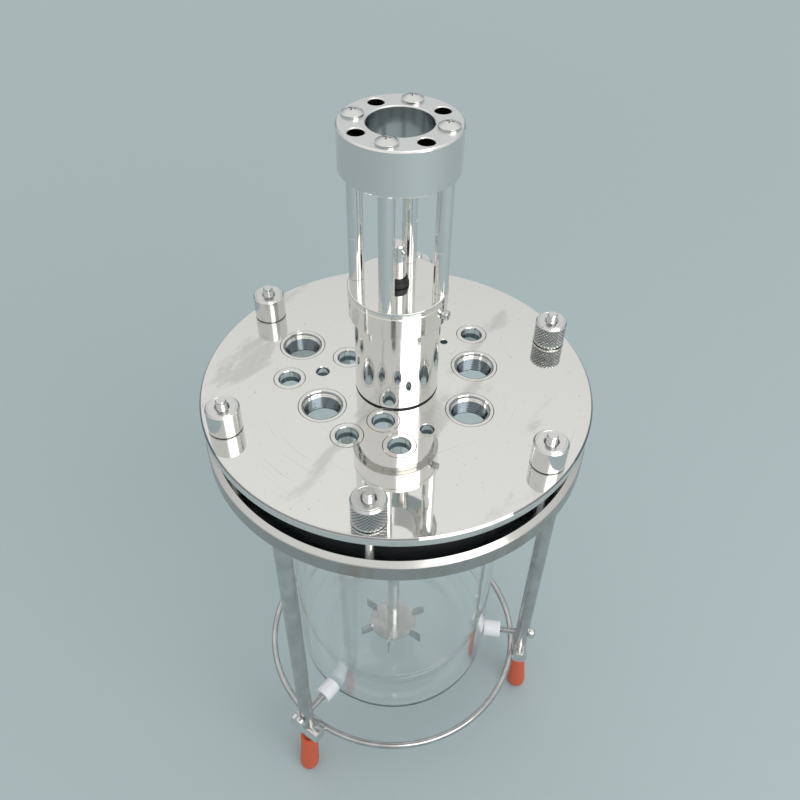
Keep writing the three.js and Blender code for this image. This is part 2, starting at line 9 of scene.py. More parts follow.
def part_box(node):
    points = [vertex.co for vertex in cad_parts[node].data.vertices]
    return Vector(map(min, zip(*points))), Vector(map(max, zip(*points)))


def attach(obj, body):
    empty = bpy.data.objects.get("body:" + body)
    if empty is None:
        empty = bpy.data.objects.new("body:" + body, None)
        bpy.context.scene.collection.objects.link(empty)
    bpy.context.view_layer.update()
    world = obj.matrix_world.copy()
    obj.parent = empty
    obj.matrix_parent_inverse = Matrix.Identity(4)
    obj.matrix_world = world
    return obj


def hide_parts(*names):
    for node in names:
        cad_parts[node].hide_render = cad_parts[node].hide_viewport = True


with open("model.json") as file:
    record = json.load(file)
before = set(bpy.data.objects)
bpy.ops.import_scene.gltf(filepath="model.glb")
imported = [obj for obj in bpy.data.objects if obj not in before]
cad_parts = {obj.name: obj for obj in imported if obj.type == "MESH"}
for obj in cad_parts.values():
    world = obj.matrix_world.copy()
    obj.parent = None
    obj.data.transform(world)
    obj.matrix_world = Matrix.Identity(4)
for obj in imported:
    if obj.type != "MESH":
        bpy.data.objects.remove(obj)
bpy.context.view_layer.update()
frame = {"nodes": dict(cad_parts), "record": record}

bl_info = {
    "name": "Bench bioreactor",
    "version": (1, 0, 0),
    "blender": (4, 5, 0),
    "location": "View3D > Sidebar > Bioreactor",
    "description": "Dresses the frame of a bench bioreactor with its visible pieces and finishes",
    "category": "Object",
}

STAND = "stand_and_head"
AGITATOR = "agitator"
MM = 0.001
SHARP_ANGLE = math.radians(32)
FINE_SIDES = 160
ROUND_SIDES = 96
SMALL_SIDES = 48


# ---------- Places taken from the frame ----------

def base_of(node):
    """The lowest height of a node."""
    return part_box(node)[0].z


def top_of(node):
    """The highest height of a node."""
    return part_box(node)[1].z


def middle_of(node):
    """The centre of a node's box."""
    low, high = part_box(node)
    return (low + high) / 2


def bearing_of(node):
    """The angle about the vertical axis at which a node stands."""
    centre = middle_of(node)
    return math.atan2(centre.y, centre.x)


def circle_of(node):
    """How far a node's centre stands from the vertical axis."""
    return middle_of(node).xy.length


def opening_places(prefix):
    """The x, y centres of the openings whose names start with this prefix."""
    places = []
    for opening in frame["record"]["physics"]["openings"]:
        if opening["name"].startswith(prefix):
            low, high = (Vector(corner) for corner in opening["box_m"])
            places.append(((low + high) / 2).xy)
    return places


def polar(radius, angle):
    """The x, y place at a radius and an angle."""
    return Vector((radius * math.cos(angle), radius * math.sin(angle)))


LID_TOP = top_of("lid_plate")
CLAMP_TOP = top_of("clamp_ring")
CLAMP_BASE = base_of("clamp_ring")
HOUSING_TOP = top_of("bearing_housing")
COVER_TOP = top_of("bearing_cover")
HEAD_BASE = base_of("head_ring")
HEAD_TOP = top_of("head_ring")


# ---------- Sizes and colours that a user can change ----------

def length(name, description, default):
    """A length property in metres."""
    return bpy.props.FloatProperty(
        name=name, description=description, default=default, min=0, precision=5, unit="LENGTH"
    )


def colour(name, description, default):
    """A colour property."""
    return bpy.props.FloatVectorProperty(
        name=name, description=description, default=default, min=0, max=1, subtype="COLOR"
    )


class HeadSizes(bpy.types.PropertyGroup):
    """Lid, clamping ring and closures"""

    radius: length("Flange radius", "Outer radius of the lid and the clamping ring", 0.110)
    lid_thickness: length("Lid thickness", "Thickness of the lid plate", 0.006)
    lid_edge: length("Lid edge", "Bevel round the top of the lid", 0.001)
    ring_bore: length("Ring bore", "Inner radius of the clamping ring", 0.084)
    ring_bevel_width: length("Ring bevel width", "Width of the bevel on the clamping ring", 0.0035)
    ring_bevel_height: length("Ring bevel height", "Height of the bevel on the clamping ring", 0.002)
    edge_break: length("Edge break", "Small bevel on turned edges", 0.0008)
    column_hole: length("Column hole", "Radius of the hole for the column", 0.0148)
    stud_radius: length("Stud radius", "Radius of the closure studs", 0.003)
    stud_pitch: length("Stud pitch", "Thread pitch of the closure studs", 0.001)
    nut_radius: length("Nut radius", "Radius of the thumb nuts", 0.0092)
    nut_height: length("Nut height", "Height of the thumb nuts", 0.0154)
    nut_bevel: length("Nut bevel", "Bevel round the top of the thumb nuts", 0.001)
    knurl_pitch: length("Knurl pitch", "Spacing of the knurl's grooves up the nut", 0.0022)
    knurl_depth: length("Knurl depth", "Depth of the knurl", 0.0006)


class PortSizes(bpy.types.PropertyGroup):
    """Ports in the lid"""

    probe_bore: length("Probe port", "Bore of the ports for probes", 0.0204)
    thermowell_bore: length("Pocket port", "Bore of the ports for sensor pockets", 0.0118)
    addition_bore: length("Addition port", "Bore of the ports for feed tubes", 0.0074)
    vent_bore: length("Vent port", "Bore of the vent", 0.0042)
    vent_circle: length("Vent circle", "Distance of the vent from the axis", 0.0451)
    vent_angle: bpy.props.FloatProperty(
        name="Vent angle", description="Bearing of the vent", default=math.radians(88.9), subtype="ANGLE"
    )
    boss_wall: length("Boss wall", "Wall of the bosses under the lid", 0.0022)
    boss_depth: length("Boss depth", "How far the boss of a plain port shows under the lid", 0.0015)
    bevel: length("Port bevel", "Bevel round the mouth of a port", 0.0006)
    port_depth: length("Port depth", "Length of a probe port through lid and boss", 0.0130)
    thread_pitch: length("Port thread pitch", "Pitch of the port's thread", 0.00141)
    thread_depth: length("Port thread depth", "Depth of the port's thread", 0.0007)
    weld_ring_gap: length("Weld ring gap", "How far the weld ring lies outside a bore", 0.003)
    weld_groove: length("Weld groove", "Width of the groove at the weld ring", 0.0012)


class VesselSizes(bpy.types.PropertyGroup):
    """Glass vessel and its gasket"""

    radius: length("Vessel radius", "Outer radius of the vessel's body", 0.070)
    wall: length("Wall", "Wall of the vessel's body", 0.0035)
    floor: length("Floor", "Thickness of the vessel's floor", 0.004)
    corner: length("Corner", "Outer radius between wall and floor", 0.020)
    mouth: length("Mouth radius", "Inner radius of the mouth", 0.078)
    neck_wall: length("Neck wall", "Wall of the neck", 0.004)
    neck: length("Neck length", "Length of the neck with its flange", 0.040)
    shoulder: length("Shoulder length", "Length of the shoulder below the neck", 0.026)
    flange: length("Flange radius", "Outer radius of the glass flange", 0.092)
    gasket_radius: length("Gasket radius", "Outer radius of the gasket", 0.095)
    gasket_lip: length("Gasket lip", "Thickness of each lip of the gasket", 0.003)
    gasket_bore: length("Gasket bore", "Inner radius of the gasket's upper lip", 0.079)


class ColumnSizes(bpy.types.PropertyGroup):
    """Bearing column and motor frame"""

    radius: length("Column radius", "Radius of the bearing column", 0.0231)
    collar_radius: length("Collar radius", "Radius of the collar", 0.026)
    collar_height: length("Collar height", "Height of the collar", 0.013)
    bearing_radius: length("Bearing pocket", "Radius of the bearing pockets", 0.0111)
    cover_bore: length("Cover bore", "Hole for the shaft in the cover", 0.0044)
    o_ring: length("Seal ring", "Section radius of the ring under the column", 0.00045)
    rod_radius: length("Rod radius", "Radius of the four rods", 0.004)
    rod_flats: length("Spanner flats", "Width across the spanner flats", 0.0069)
    flats_rise: length("Flats rise", "Height of the spanner flats above the cover", 0.024)
    flats_height: length("Flats height", "Height of the spanner flats", 0.012)
    head_radius: length("Head ring radius", "Radius of the head ring", 0.0286)
    head_bore: length("Head ring bore", "Bore radius of the head ring", 0.0153)
    bolt_hole: length("Bolt hole", "Radius of the four free holes", 0.00385)
    screw_head: length("Screw head radius", "Radius of the pan heads", 0.0053)
    screw_height: length("Screw head height", "Height of the pan heads", 0.0030)
    recess: length("Recess", "Reach of the cross recess from its centre", 0.0021)
    side_screw_turn: bpy.props.FloatProperty(
        name="Side screw turn",
        description="How far round the collar the side screw stands from its solid",
        default=math.radians(6),
        subtype="ANGLE",
    )


class AgitatorSizes(bpy.types.PropertyGroup):
    """Shaft and turbine"""

    shaft: length("Shaft radius", "Radius of the shaft in the vessel", 0.0045)
    journal: length("Journal radius", "Radius of the shaft in the bearings", 0.004)
    pin_radius: length("Pin radius", "Radius of the drive pin", 0.00125)
    pin_length: length("Pin length", "Length of the drive pin", 0.011)
    pin_turn: bpy.props.FloatProperty(
        name="Pin turn", description="Bearing of the drive pin", default=math.radians(-15), subtype="ANGLE"
    )
    disc: length("Disc radius", "Radius of the turbine's disc", 0.0175)
    disc_thickness: length("Disc thickness", "Thickness of the turbine's disc", 0.0015)
    hub: length("Hub radius", "Radius of the hub", 0.0085)
    hub_length: length("Hub length", "Length of the hub below the disc", 0.009)
    blade_reach: length("Blade reach", "Radius of the blades' outer edge", 0.026)
    blade_length: length("Blade length", "Length of a blade", 0.0095)
    blade_height: length("Blade height", "Height of a blade", 0.010)
    blade_thickness: length("Blade thickness", "Thickness of a blade", 0.001)
    blades: bpy.props.IntProperty(name="Blades", description="Number of blades", default=6, min=2)


class LegSizes(bpy.types.PropertyGroup):
    """Legs, feet, hoop and adjusters"""

    leg: length("Leg radius", "Radius of a leg", 0.005)
    stem: length("Stem radius", "Radius of the stem under a leg", 0.0035)
    foot: length("Foot radius", "Radius of a foot", 0.0071)
    foot_top: length("Foot top", "Radius at the top of a foot", 0.0062)
    foot_patch: length("Foot patch", "Radius of the flat that a foot stands on", 0.0042)
    foot_lean: length("Foot lean", "How far the bottom of a foot leans outwards", 0.0035)
    foot_rounding: length("Foot rounding", "Height of the rounding at the bottom of a foot", 0.007)
    bead: length("Foot bead", "Height of the bead round the top of a foot", 0.003)
    block: length("Block radius", "Radius of a cross block", 0.006)
    block_flats: length("Block flats", "Height between a cross block's flats", 0.011)
    block_length: length("Block length", "Length of a cross block", 0.024)
    hoop: length("Hoop radius", "Radius of the hoop at the wire's centre", 0.0931)
    wire: length("Wire radius", "Radius of the hoop's wire", 0.0023)
    adjuster: length("Adjuster radius", "Radius of the adjusting screws", 0.0025)
    adjuster_pitch: length("Adjuster pitch", "Thread pitch of the adjusting screws", 0.0008)
    knob: length("Knob radius", "Radius of the knob on an adjusting screw", 0.0042)
    screw_start: length("Screw start", "Distance of an adjusting screw's end from the axis", 0.0751)
    knob_start: length("Knob start", "Distance of the knob from the axis", 0.1053)
    knob_length: length("Knob length", "Length of the knob", 0.0046)
    tip: length("Tip radius", "Radius of the soft tips", 0.006)
    tip_start: length("Tip start", "Distance of a soft tip from the axis", 0.0703)
    tip_length: length("Tip length", "Length of a soft tip", 0.0125)


class Colours(bpy.types.PropertyGroup):
    """Colours of the finishes"""

    steel: colour("Steel", "Polished stainless steel", (0.76, 0.755, 0.735))
    turned: colour("Turned steel", "Turned stainless steel", (0.66, 0.66, 0.65))
    stain: colour("Stain", "Tea-coloured stain on steel", (0.30, 0.20, 0.12))
    rubber: colour("Rubber", "Black rubber", (0.012, 0.013, 0.016))
    silicone: colour("Silicone", "Orange silicone", (0.68, 0.100, 0.028))
    polymer: colour("Polymer", "White polymer", (0.86, 0.87, 0.90))
    glass: colour("Glass", "Clear glass", (0.985, 0.995, 0.993))
    floor: colour("Floor", "Pale floor by the object", (0.40, 0.48, 0.50))
    floor_far: colour("Far floor", "Floor far off", (0.46, 0.54, 0.56))
    room_wall: colour("Room wall", "The studio round about", (0.45, 0.48, 0.50))
    room_ceiling: colour("Room ceiling", "The studio overhead", (0.95, 0.95, 0.93))


class StageSizes(bpy.types.PropertyGroup):
    """Camera and floor"""

    distance: length("Distance", "Level distance of the camera from the axis", 0.3403)
    height: length("Height", "Height of the camera over the bench", 0.6382)
    bearing: bpy.props.FloatProperty(
        name="Bearing", description="Bearing of the camera", default=math.radians(-52.8), subtype="ANGLE"
    )
    pitch: bpy.props.FloatProperty(
        name="Pitch", description="Downward tilt of the camera", default=math.radians(44.03), subtype="ANGLE"
    )
    yaw: bpy.props.FloatProperty(
        name="Yaw", description="Turn of the camera to the right", default=math.radians(0.36), subtype="ANGLE"
    )
    roll: bpy.props.FloatProperty(
        name="Roll", description="Roll of the camera", default=math.radians(1.09), subtype="ANGLE"
    )
    lens: bpy.props.FloatProperty(name="Lens", description="Focal length in millimetres", default=36.774)
    sensor: bpy.props.FloatProperty(name="Sensor", description="Sensor width in millimetres", default=36.0)
    floor_radius: length("Floor radius", "Radius of the floor", 3.0)


GROUPS = {
    "bioreactor_head": HeadSizes,
    "bioreactor_ports": PortSizes,
    "bioreactor_vessel": VesselSizes,
    "bioreactor_column": ColumnSizes,
    "bioreactor_agitator": AgitatorSizes,
    "bioreactor_legs": LegSizes,
    "bioreactor_colours": Colours,
    "bioreactor_stage": StageSizes,
}


# ---------- Node maths, for shaders and for geometry ----------

class Signal:
    """A node's output. Arithmetic on it adds Math nodes to its tree."""

    def __init__(self, tree, socket):
        self.tree = tree
        self.socket = socket

    def maths(self, operation, *operands):
        """The result of a Math node on these operands."""
        inputs = dict(enumerate(operands))
        return self.tree.node("ShaderNodeMath", {"operation": operation}, inputs).signal(0)

    def __add__(self, other):
        return self.maths("ADD", self, other)

    def __radd__(self, other):
        return self.maths("ADD", other, self)

    def __sub__(self, other):
        return self.maths("SUBTRACT", self, other)

    def __rsub__(self, other):
        return self.maths("SUBTRACT", other, self)

    def __mul__(self, other):
        return self.maths("MULTIPLY", self, other)

    def __rmul__(self, other):
        return self.maths("MULTIPLY", other, self)

    def __truediv__(self, other):
        return self.maths("DIVIDE", self, other)

    def __rtruediv__(self, other):
        return self.maths("DIVIDE", other, self)

    def __pow__(self, other):
        return self.maths("POWER", self, other)

    def __abs__(self):
        return self.maths("ABSOLUTE", self)

    def least(self, other):
        """The smaller of two values."""
        return self.maths("MINIMUM", self, other)

    def most(self, other):
        """The larger of two values."""
        return self.maths("MAXIMUM", self, other)

    def wave(self):
        """Nought at whole numbers and one halfway between them."""
        return 2 * abs(self - self.maths("ROUND", self))

    def fade(self, low, high):
        """A smooth step from nought at low to one at high."""
        settings = {"interpolation_type": "SMOOTHSTEP"}
        inputs = {"Value": self, "From Min": low, "From Max": high, "To Min": 0.0, "To Max": 1.0}
        return self.tree.node("ShaderNodeMapRange", settings, inputs).signal("Result")


class Made:
    """A node that was just added."""

    def __init__(self, tree, node):
        self.tree = tree
        self.node = node

    def signal(self, key):
        """One of its outputs."""
        return Signal(self.tree, self.node.outputs[key])


class NodeTree:
    """What a shader and a geometry tree share: one method that adds any node."""

    def __init__(self, nodes):
        self.nodes = nodes

    def node(self, kind, settings=None, inputs=None):
        """Adds a node, then its settings, then the values or links of its sockets."""
        node = self.nodes.nodes.new(kind)
        for name, value in (settings or {}).items():
            setattr(node, name, value)
        for key, value in (inputs or {}).items():
            self.feed(node.inputs[key], value)
        return Made(self, node)

    def feed(self, socket, value):
        """Links a socket, or gives it a value."""
        if isinstance(value, Signal):
            self.nodes.links.new(value.socket, socket)
        else:
            socket.default_value = value

    def split(self, vector):
        """The x, y and z of a vector."""
        parts = self.node("ShaderNodeSeparateXYZ", inputs={0: vector})
        return parts.signal("X"), parts.signal("Y"), parts.signal("Z")

    def vector(self, x, y, z):
        """A vector from three values."""
        return self.node("ShaderNodeCombineXYZ", inputs={0: x, 1: y, 2: z}).signal(0)

    def scaled(self, vector, scale):
        """A vector times a scale for each axis."""
        inputs = {0: vector, 1: scale}
        return self.node("ShaderNodeVectorMath", {"operation": "MULTIPLY"}, inputs).signal(0)

    def mix(self, share, first, second):
        """Two colours mixed by a share."""
        inputs = {0: share, 6: padded(first), 7: padded(second)}
        return self.node("ShaderNodeMix", {"data_type": "RGBA"}, inputs).signal(2)


class Finish(NodeTree):
    """One material, with a Principled shader that its maker feeds."""

    def __init__(self, name, metallic=0.0):
        self.material = bpy.data.materials.new(name)
        self.material.use_nodes = True
        super().__init__(self.material.node_tree)
        self.shader = self.nodes.nodes["Principled BSDF"]
        self.place = self.node("ShaderNodeTexCoord").signal("Object")
        self.set(Metallic=metallic)

    def set(self, **values):
        """Feeds sockets of the shader, named with underscores for spaces."""
        for name, value in values.items():
            self.feed(self.shader.inputs[name.replace("_", " ")], value)

    def noise(self, vector, scale, detail=2.0, roughness=0.5):
        """A noise from nought to one."""
        inputs = {"Vector": vector, "Scale": scale, "Detail": detail, "Roughness": roughness}
        return self.node("ShaderNodeTexNoise", inputs=inputs).signal(0)

    def bump(self, height, distance, strength=1.0):
        """Feeds the normal from a height."""
        inputs = {"Height": height, "Distance": distance, "Strength": strength}
        self.set(Normal=self.node("ShaderNodeBump", inputs=inputs).signal(0))

    def radius_and_height(self):
        """How far a spot lies from the vertical axis, and how high it lies."""
        x, y, z = self.split(self.place)
        return (x * x + y * y) ** 0.5, z

    def attribute(self, name):
        """A value that the mesh carries."""
        return self.node("ShaderNodeAttribute", {"attribute_name": name}).signal("Fac")


def padded(shade):
    """A colour with its alpha, or a signal as it is."""
    return shade if isinstance(shade, Signal) else (*tuple(shade)[:3], 1.0)


class Shape(NodeTree):
    """One geometry tree with named inputs."""

    def __init__(self, name, **inputs):
        super().__init__(bpy.data.node_groups.new(name, "GeometryNodeTree"))
        face = self.nodes.interface
        face.new_socket("Geometry", in_out="INPUT", socket_type="NodeSocketGeometry")
        for label, (kind, default) in inputs.items():
            socket = face.new_socket(label, in_out="INPUT", socket_type=kind)
            if default is not None:
                socket.default_value = default
        face.new_socket("Material", in_out="INPUT", socket_type="NodeSocketMaterial")
        face.new_socket("Geometry", in_out="OUTPUT", socket_type="NodeSocketGeometry")
        self.entry = Made(self, self.nodes.nodes.new("NodeGroupInput"))

    def given(self, label):
        """One of the tree's inputs."""
        return self.entry.signal(label)

    def end(self, geometry):
        """Realizes the instances, sets the material and closes the tree."""
        real = self.node("GeometryNodeRealizeInstances", inputs={0: geometry}).signal(0)
        inputs = {"Geometry": real, "Material": self.given("Material")}
        painted = self.node("GeometryNodeSetMaterial", inputs=inputs).signal(0)
        self.node("NodeGroupOutput", inputs={0: painted})
        return self.nodes


def tree_once(build):
    """Builds a geometry tree the first time it is asked for, and then finds it again."""
    name = build.__name__.replace("_", " ")
    return bpy.data.node_groups.get(name) or build(name)


def ring_of_copies(name):
    """Copies of the incoming piece, spaced evenly round the vertical axis."""
    shape = Shape(
        name,
        Count=("NodeSocketInt", 3),
        Radius=("NodeSocketFloat", 0.1),
        Start=("NodeSocketFloat", 0.0),
    )
    index = shape.node("GeometryNodeInputIndex").signal(0)
    angle = shape.given("Start") + index * math.tau / shape.given("Count")
    radius = shape.given("Radius")
    place = shape.vector(radius * angle.maths("COSINE", angle), radius * angle.maths("SINE", angle), 0.0)
    points = shape.node("GeometryNodePoints", inputs={"Count": shape.given("Count"), "Position": place})
    inputs = {"Points": points.signal(0), "Instance": shape.given("Geometry")}
    inputs["Rotation"] = shape.vector(0.0, 0.0, angle)
    return shape.end(shape.node("GeometryNodeInstanceOnPoints", inputs=inputs).signal(0))


def cut_pattern(name):
    """Cuts helical grooves into an upright turned surface: a thread, or crossed, a knurl."""
    shape = Shape(
        name,
        Starts=("NodeSocketFloat", 1.0),
        Pitch=("NodeSocketFloat", 0.001),
        Depth=("NodeSocketFloat", 0.0005),
        Crossed=("NodeSocketFloat", 0.0),
        From=("NodeSocketFloat", 0.0),
        To=("NodeSocketFloat", 1.0),
        Least=("NodeSocketFloat", 0.0),
    )
    place = shape.node("GeometryNodeInputPosition").signal(0)
    x, y, z = shape.split(place)
    radius = (x * x + y * y) ** 0.5
    turn = x.maths("ARCTAN2", y, x) / math.tau * shape.given("Starts")
    rise = z / shape.given("Pitch")
    one_way = (turn + rise).wave()
    other_way = (rise - turn).wave()
    ridge = one_way.least(other_way.most(1 - shape.given("Crossed")))
    edge = shape.given("Pitch") * 0.5
    start, stop = shape.given("From"), shape.given("To")
    inside = z.fade(start - edge, start + edge) * (1 - z.fade(stop - edge, stop + edge))
    worked = radius.maths("GREATER_THAN", radius, shape.given("Least"))
    cut = shape.given("Depth") * (1 - ridge) * inside * worked
    share = (radius - cut) / radius.most(1e-6)
    moved = shape.vector(x * share, y * share, z)
    settings = {"data_type": "FLOAT", "domain": "POINT"}
    # The groove mark is read by the turned steel, which paints shade into the grooves.
    inputs = {"Geometry": shape.given("Geometry"), "Name": "groove", "Value": (1 - ridge) * inside * worked}
    marked = shape.node("GeometryNodeStoreNamedAttribute", settings, inputs).signal(0)
    inputs = {"Geometry": marked, "Position": moved}
    return shape.end(shape.node("GeometryNodeSetPosition", inputs=inputs).signal(0))


def round_wire(name):
    """A round wire bent into a level hoop."""
    shape = Shape(
        name,
        Radius=("NodeSocketFloat", 0.1),
        Wire=("NodeSocketFloat", 0.002),
        Height=("NodeSocketFloat", 0.0),
    )
    circle = "GeometryNodeCurvePrimitiveCircle"
    path = shape.node(circle, inputs={"Resolution": 256, "Radius": shape.given("Radius")})
    section = shape.node(circle, inputs={"Resolution": 24, "Radius": shape.given("Wire")})
    inputs = {"Curve": path.signal(0), "Profile Curve": section.signal(0)}
    wire = shape.node("GeometryNodeCurveToMesh", inputs=inputs).signal(0)
    smooth = shape.node("GeometryNodeSetShadeSmooth", inputs={"Geometry": wire}).signal(0)
    inputs = {"Geometry": smooth, "Translation": shape.vector(0.0, 0.0, shape.given("Height"))}
    return shape.end(shape.node("GeometryNodeTransform", inputs=inputs).signal(0))


def linked(name, data):
    """A new object, linked to the scene."""
    item = bpy.data.objects.new(name, data)
    bpy.context.scene.collection.objects.link(item)
    return item


def applied(item):
    """The plain mesh that an object's modifiers make of it. The object itself is then without them."""
    graph = bpy.context.evaluated_depsgraph_get()
    mesh = bpy.data.meshes.new_from_object(
        item.evaluated_get(graph), preserve_all_data_layers=True, depsgraph=graph
    )
    item.modifiers.clear()
    return mesh


def grown(mesh, build, finish=None, **values):
    """Runs a geometry tree on a mesh and returns its result as a plain mesh."""
    tree = tree_once(build)
    carrier = linked("carrier", mesh)
    modifier = carrier.modifiers.new("Shape", "NODES")
    modifier.node_group = tree
    values["Material"] = finish_once(finish) if finish else None
    for item in tree.interface.items_tree:
        if item.in_out == "INPUT" and item.name in values:
            modifier[item.identifier] = values[item.name]
    result = applied(carrier)
    bpy.data.objects.remove(carrier)
    return result


# ---------- Mesh helpers ----------

def eased(corners, closed=False, steps=4):
    """An outline of (radius, height, ease) corners, each rounded over its ease."""
    outline = []
    count = len(corners)
    for i, corner in enumerate(corners):
        here = Vector(corner[:2])
        ease = corner[2] if len(corner) > 2 else 0
        inner = closed or 0 < i < count - 1
        if not ease or not inner:
            outline.append(here)
            continue
        before = Vector(corners[i - 1][:2]) - here
        after = Vector(corners[(i + 1) % count][:2]) - here
        reach = min(ease, 0.45 * before.length, 0.45 * after.length)
        start = here + before.normalized() * reach
        stop = here + after.normalized() * reach
        support = min(0.4 * reach, 0.04 * before.length, 0.04 * after.length)
        outline.append(start + before.normalized() * support)
        for step in range(steps + 1):
            t = step / steps
            outline.append((1 - t) ** 2 * start + 2 * t * (1 - t) * here + t * t * stop)
        outline.append(stop + after.normalized() * support)
    return outline


def turned(outline, sides=ROUND_SIDES, closed=False):
    """A body turned about the vertical axis from an outline of (radius, height) points."""
    form = bmesh.new()
    along = form.verts.layers.float.new("along")
    rings = []
    travelled = 0.0
    for i, point in enumerate(outline):
        travelled += (Vector(point) - Vector(outline[i - 1])).length if i else 0.0
        radius, height = point[0], point[1]
        spots = [form.verts.new((0, 0, height))] if radius < 1e-7 else [
            form.verts.new((*polar(radius, math.tau * side / sides), height)) for side in range(sides)
        ]
        for spot in spots:
            spot[along] = travelled
        rings.append(spots)
    pairs = list(zip(rings, rings[1:]))
    if closed:
        pairs.append((rings[-1], rings[0]))
    for lower, upper in pairs:
        for side in range(sides):
            corners = []
            for spots, place in ((lower, side), (lower, side + 1), (upper, side + 1), (upper, side)):
                spot = spots[place % len(spots)]
                if spot not in corners:
                    corners.append(spot)
            if len(corners) > 2:
                form.faces.new(corners)
    bmesh.ops.recalc_face_normals(form, faces=form.faces)
    return form


def stacked(sections):
    """A body skinned over closed sections with equal numbers of points, and capped at both ends."""
    form = bmesh.new()
    along = form.verts.layers.float.new("along")
    rings = []
    for number, section in enumerate(sections):
        ring = [form.verts.new(point) for point in section]
        for spot in ring:
            spot[along] = number * MM
        rings.append(ring)
    for lower, upper in zip(rings, rings[1:]):
        for i in range(len(lower)):
            j = (i + 1) % len(lower)
            form.faces.new((lower[i], lower[j], upper[j], upper[i]))
    form.faces.new(reversed(rings[0]))
    form.faces.new(rings[-1])
    bmesh.ops.recalc_face_normals(form, faces=form.faces)
    return form


def slab(size, bevel=0.0):
    """A block about the origin with bevelled edges."""
    form = bmesh.new()
    form.verts.layers.float.new("along")
    bmesh.ops.create_cube(form, size=1.0, matrix=Matrix.Diagonal((*size, 1.0)))
    if bevel:
        bmesh.ops.bevel(form, geom=form.edges[:], offset=bevel, segments=2, affect="EDGES", profile=0.5)
    return form


def moved(form, matrix):
    """The same form in another place."""
    bmesh.ops.transform(form, matrix=matrix, verts=form.verts)
    return form


def to_mesh(form, name):
    """A smooth mesh with sharp edges kept, from a form that is then freed."""
    mesh = bpy.data.meshes.new(name)
    form.to_mesh(mesh)
    form.free()
    return smoothed(mesh)


def smoothed(mesh):
    """Shades a mesh smooth between its sharp edges."""
    mesh.shade_smooth()
    mesh.set_sharp_from_angle(angle=SHARP_ANGLE)
    return mesh


def joined(meshes, name):
    """One mesh from several, each in its place."""
    form = bmesh.new()
    for mesh in meshes:
        form.from_mesh(mesh)
    mesh = bpy.data.meshes.new(name)
    form.to_mesh(mesh)
    form.free()
    return mesh


def carved(mesh, cutters):
    """A mesh with others cut from it."""
    body = linked("body", mesh)
    tool = linked("tool", joined(cutters, "tool"))
    modifier = body.modifiers.new("Cut", "BOOLEAN")
    modifier.operation = "DIFFERENCE"
    modifier.solver = "EXACT"
    modifier.object = tool
    result = applied(body)
    for item in (body, tool):
        bpy.data.objects.remove(item)
    return smoothed(result)


def turned_to(angle):
    """Turns what is drawn with its radius along X to a bearing."""
    return Matrix.Rotation(angle, 4, "Z")


def laid_along_x(height):
    """Lays an upright form down along X at a height."""
    return Matrix.Translation((0, 0, height)) @ Matrix.Rotation(math.pi / 2, 4, "Y")


def settle(name, mesh, body, finish, slot, *nodes):
    """Makes a mesh a piece of the object, riding on a body in the place of its nodes."""
    mesh.name = name
    mesh.materials.clear()
    mesh.materials.append(finish_once(finish))
    piece = linked(name, mesh)
    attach(piece, body)
    if nodes:
        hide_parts(*nodes)
    return piece


def numbered(prefix, count):
    """The names of a run of like nodes."""
    return [f"{prefix}_{number}" for number in range(1, count + 1)]


# ---------- Finishes ----------

def finish_once(build):
    """Builds a finish the first time it is asked for, and then finds it again."""
    name = build.__name__.replace("_", " ")
    return bpy.data.materials.get(name) or build(name)


def colours():
    """The colours that the user has set."""
    return bpy.context.scene.bioreactor_colours


def toned(shade, gain):
    """A colour with each of its parts times a gain."""
    return [gain * part for part in shade]


def polished_steel(name):
    """Steel polished to a mirror, with fine turning lines and a few smears."""
    finish = Finish(name, metallic=1.0)
    along = finish.attribute("along")
    lines = finish.noise(finish.vector(along * 4000.0, 0.0, 0.0), 1.0, 3.0)
    smears = finish.noise(finish.place, 45.0, 4.0, 0.6)
    veil = smears.fade(0.50, 0.72)
    finish.set(Base_Color=finish.mix(veil * 0.35, colours().steel, toned(colours().steel, 0.9)))
    finish.set(Roughness=0.055 + 0.10 * veil + 0.03 * lines)
    finish.bump(lines * 0.6 + smears * 0.4, 0.00001, 0.25)
    return finish.material


def lid_steel(name):
    """The lid's mirror finish, with smears, arc scratches and water marks, painted shade in its bevels and
    grooves, and ports and underside painted dark as painted shade.
    """
    finish = Finish(name, metallic=1.0)
    x, y, z = finish.split(finish.place)
    radius = (x * x + y * y) ** 0.5
    bearing = x.maths("ARCTAN2", y, x)
    flat = z.fade(LID_TOP - 0.2 * MM, LID_TOP - 0.1 * MM)
    arcs = finish.noise(finish.vector(radius * 900.0, bearing * 1.4, 0.0), 1.0, 2.0) * flat
    scratches = arcs.fade(0.66, 0.74)
    wiped = finish.noise(finish.scaled(finish.place, (1.0, 0.35, 1.0)), 38.0, 5.0, 0.62)
    smears = wiped.fade(0.55, 0.66)
    spots = finish.noise(finish.place, 420.0, 1.0).fade(0.73, 0.76)
    # Painted shade: the bevels, chamfers and grooves just under the top face are painted dark.
    below_face = 1 - z.fade(LID_TOP - 0.40 * MM, LID_TOP - 0.12 * MM)
    painted_crease_shade = below_face * z.fade(LID_TOP - 1.0 * MM, LID_TOP - 0.8 * MM)
    # Painted shade: the port walls and the lid's underside, below about 4 mm, are painted dark slate.
    within_rim = 1 - radius.fade(0.098, 0.100)
    inside = within_rim * (1 - z.fade(LID_TOP - 4.5 * MM, LID_TOP - 3.5 * MM))
    darker_steel = toned(colours().steel, 0.70)
    tone = finish.mix((smears * 0.6 + spots * 0.6 + scratches * 0.4).least(1.0), colours().steel, darker_steel)
    # Painted shade darkens the bevels and grooves.
    tone = finish.mix(painted_crease_shade * 0.75, tone, (0.16, 0.17, 0.18))
    # Painted shade darkens the ports and the underside.
    finish.set(Base_Color=finish.mix(inside, tone, (0.16, 0.19, 0.21)))
    finish.set(Roughness=0.035 + 0.15 * smears + 0.12 * scratches + 0.2 * spots + 0.15 * inside)
    finish.bump(wiped * 0.5 + arcs * 0.5, 0.00001, 0.3)
    return finish.material


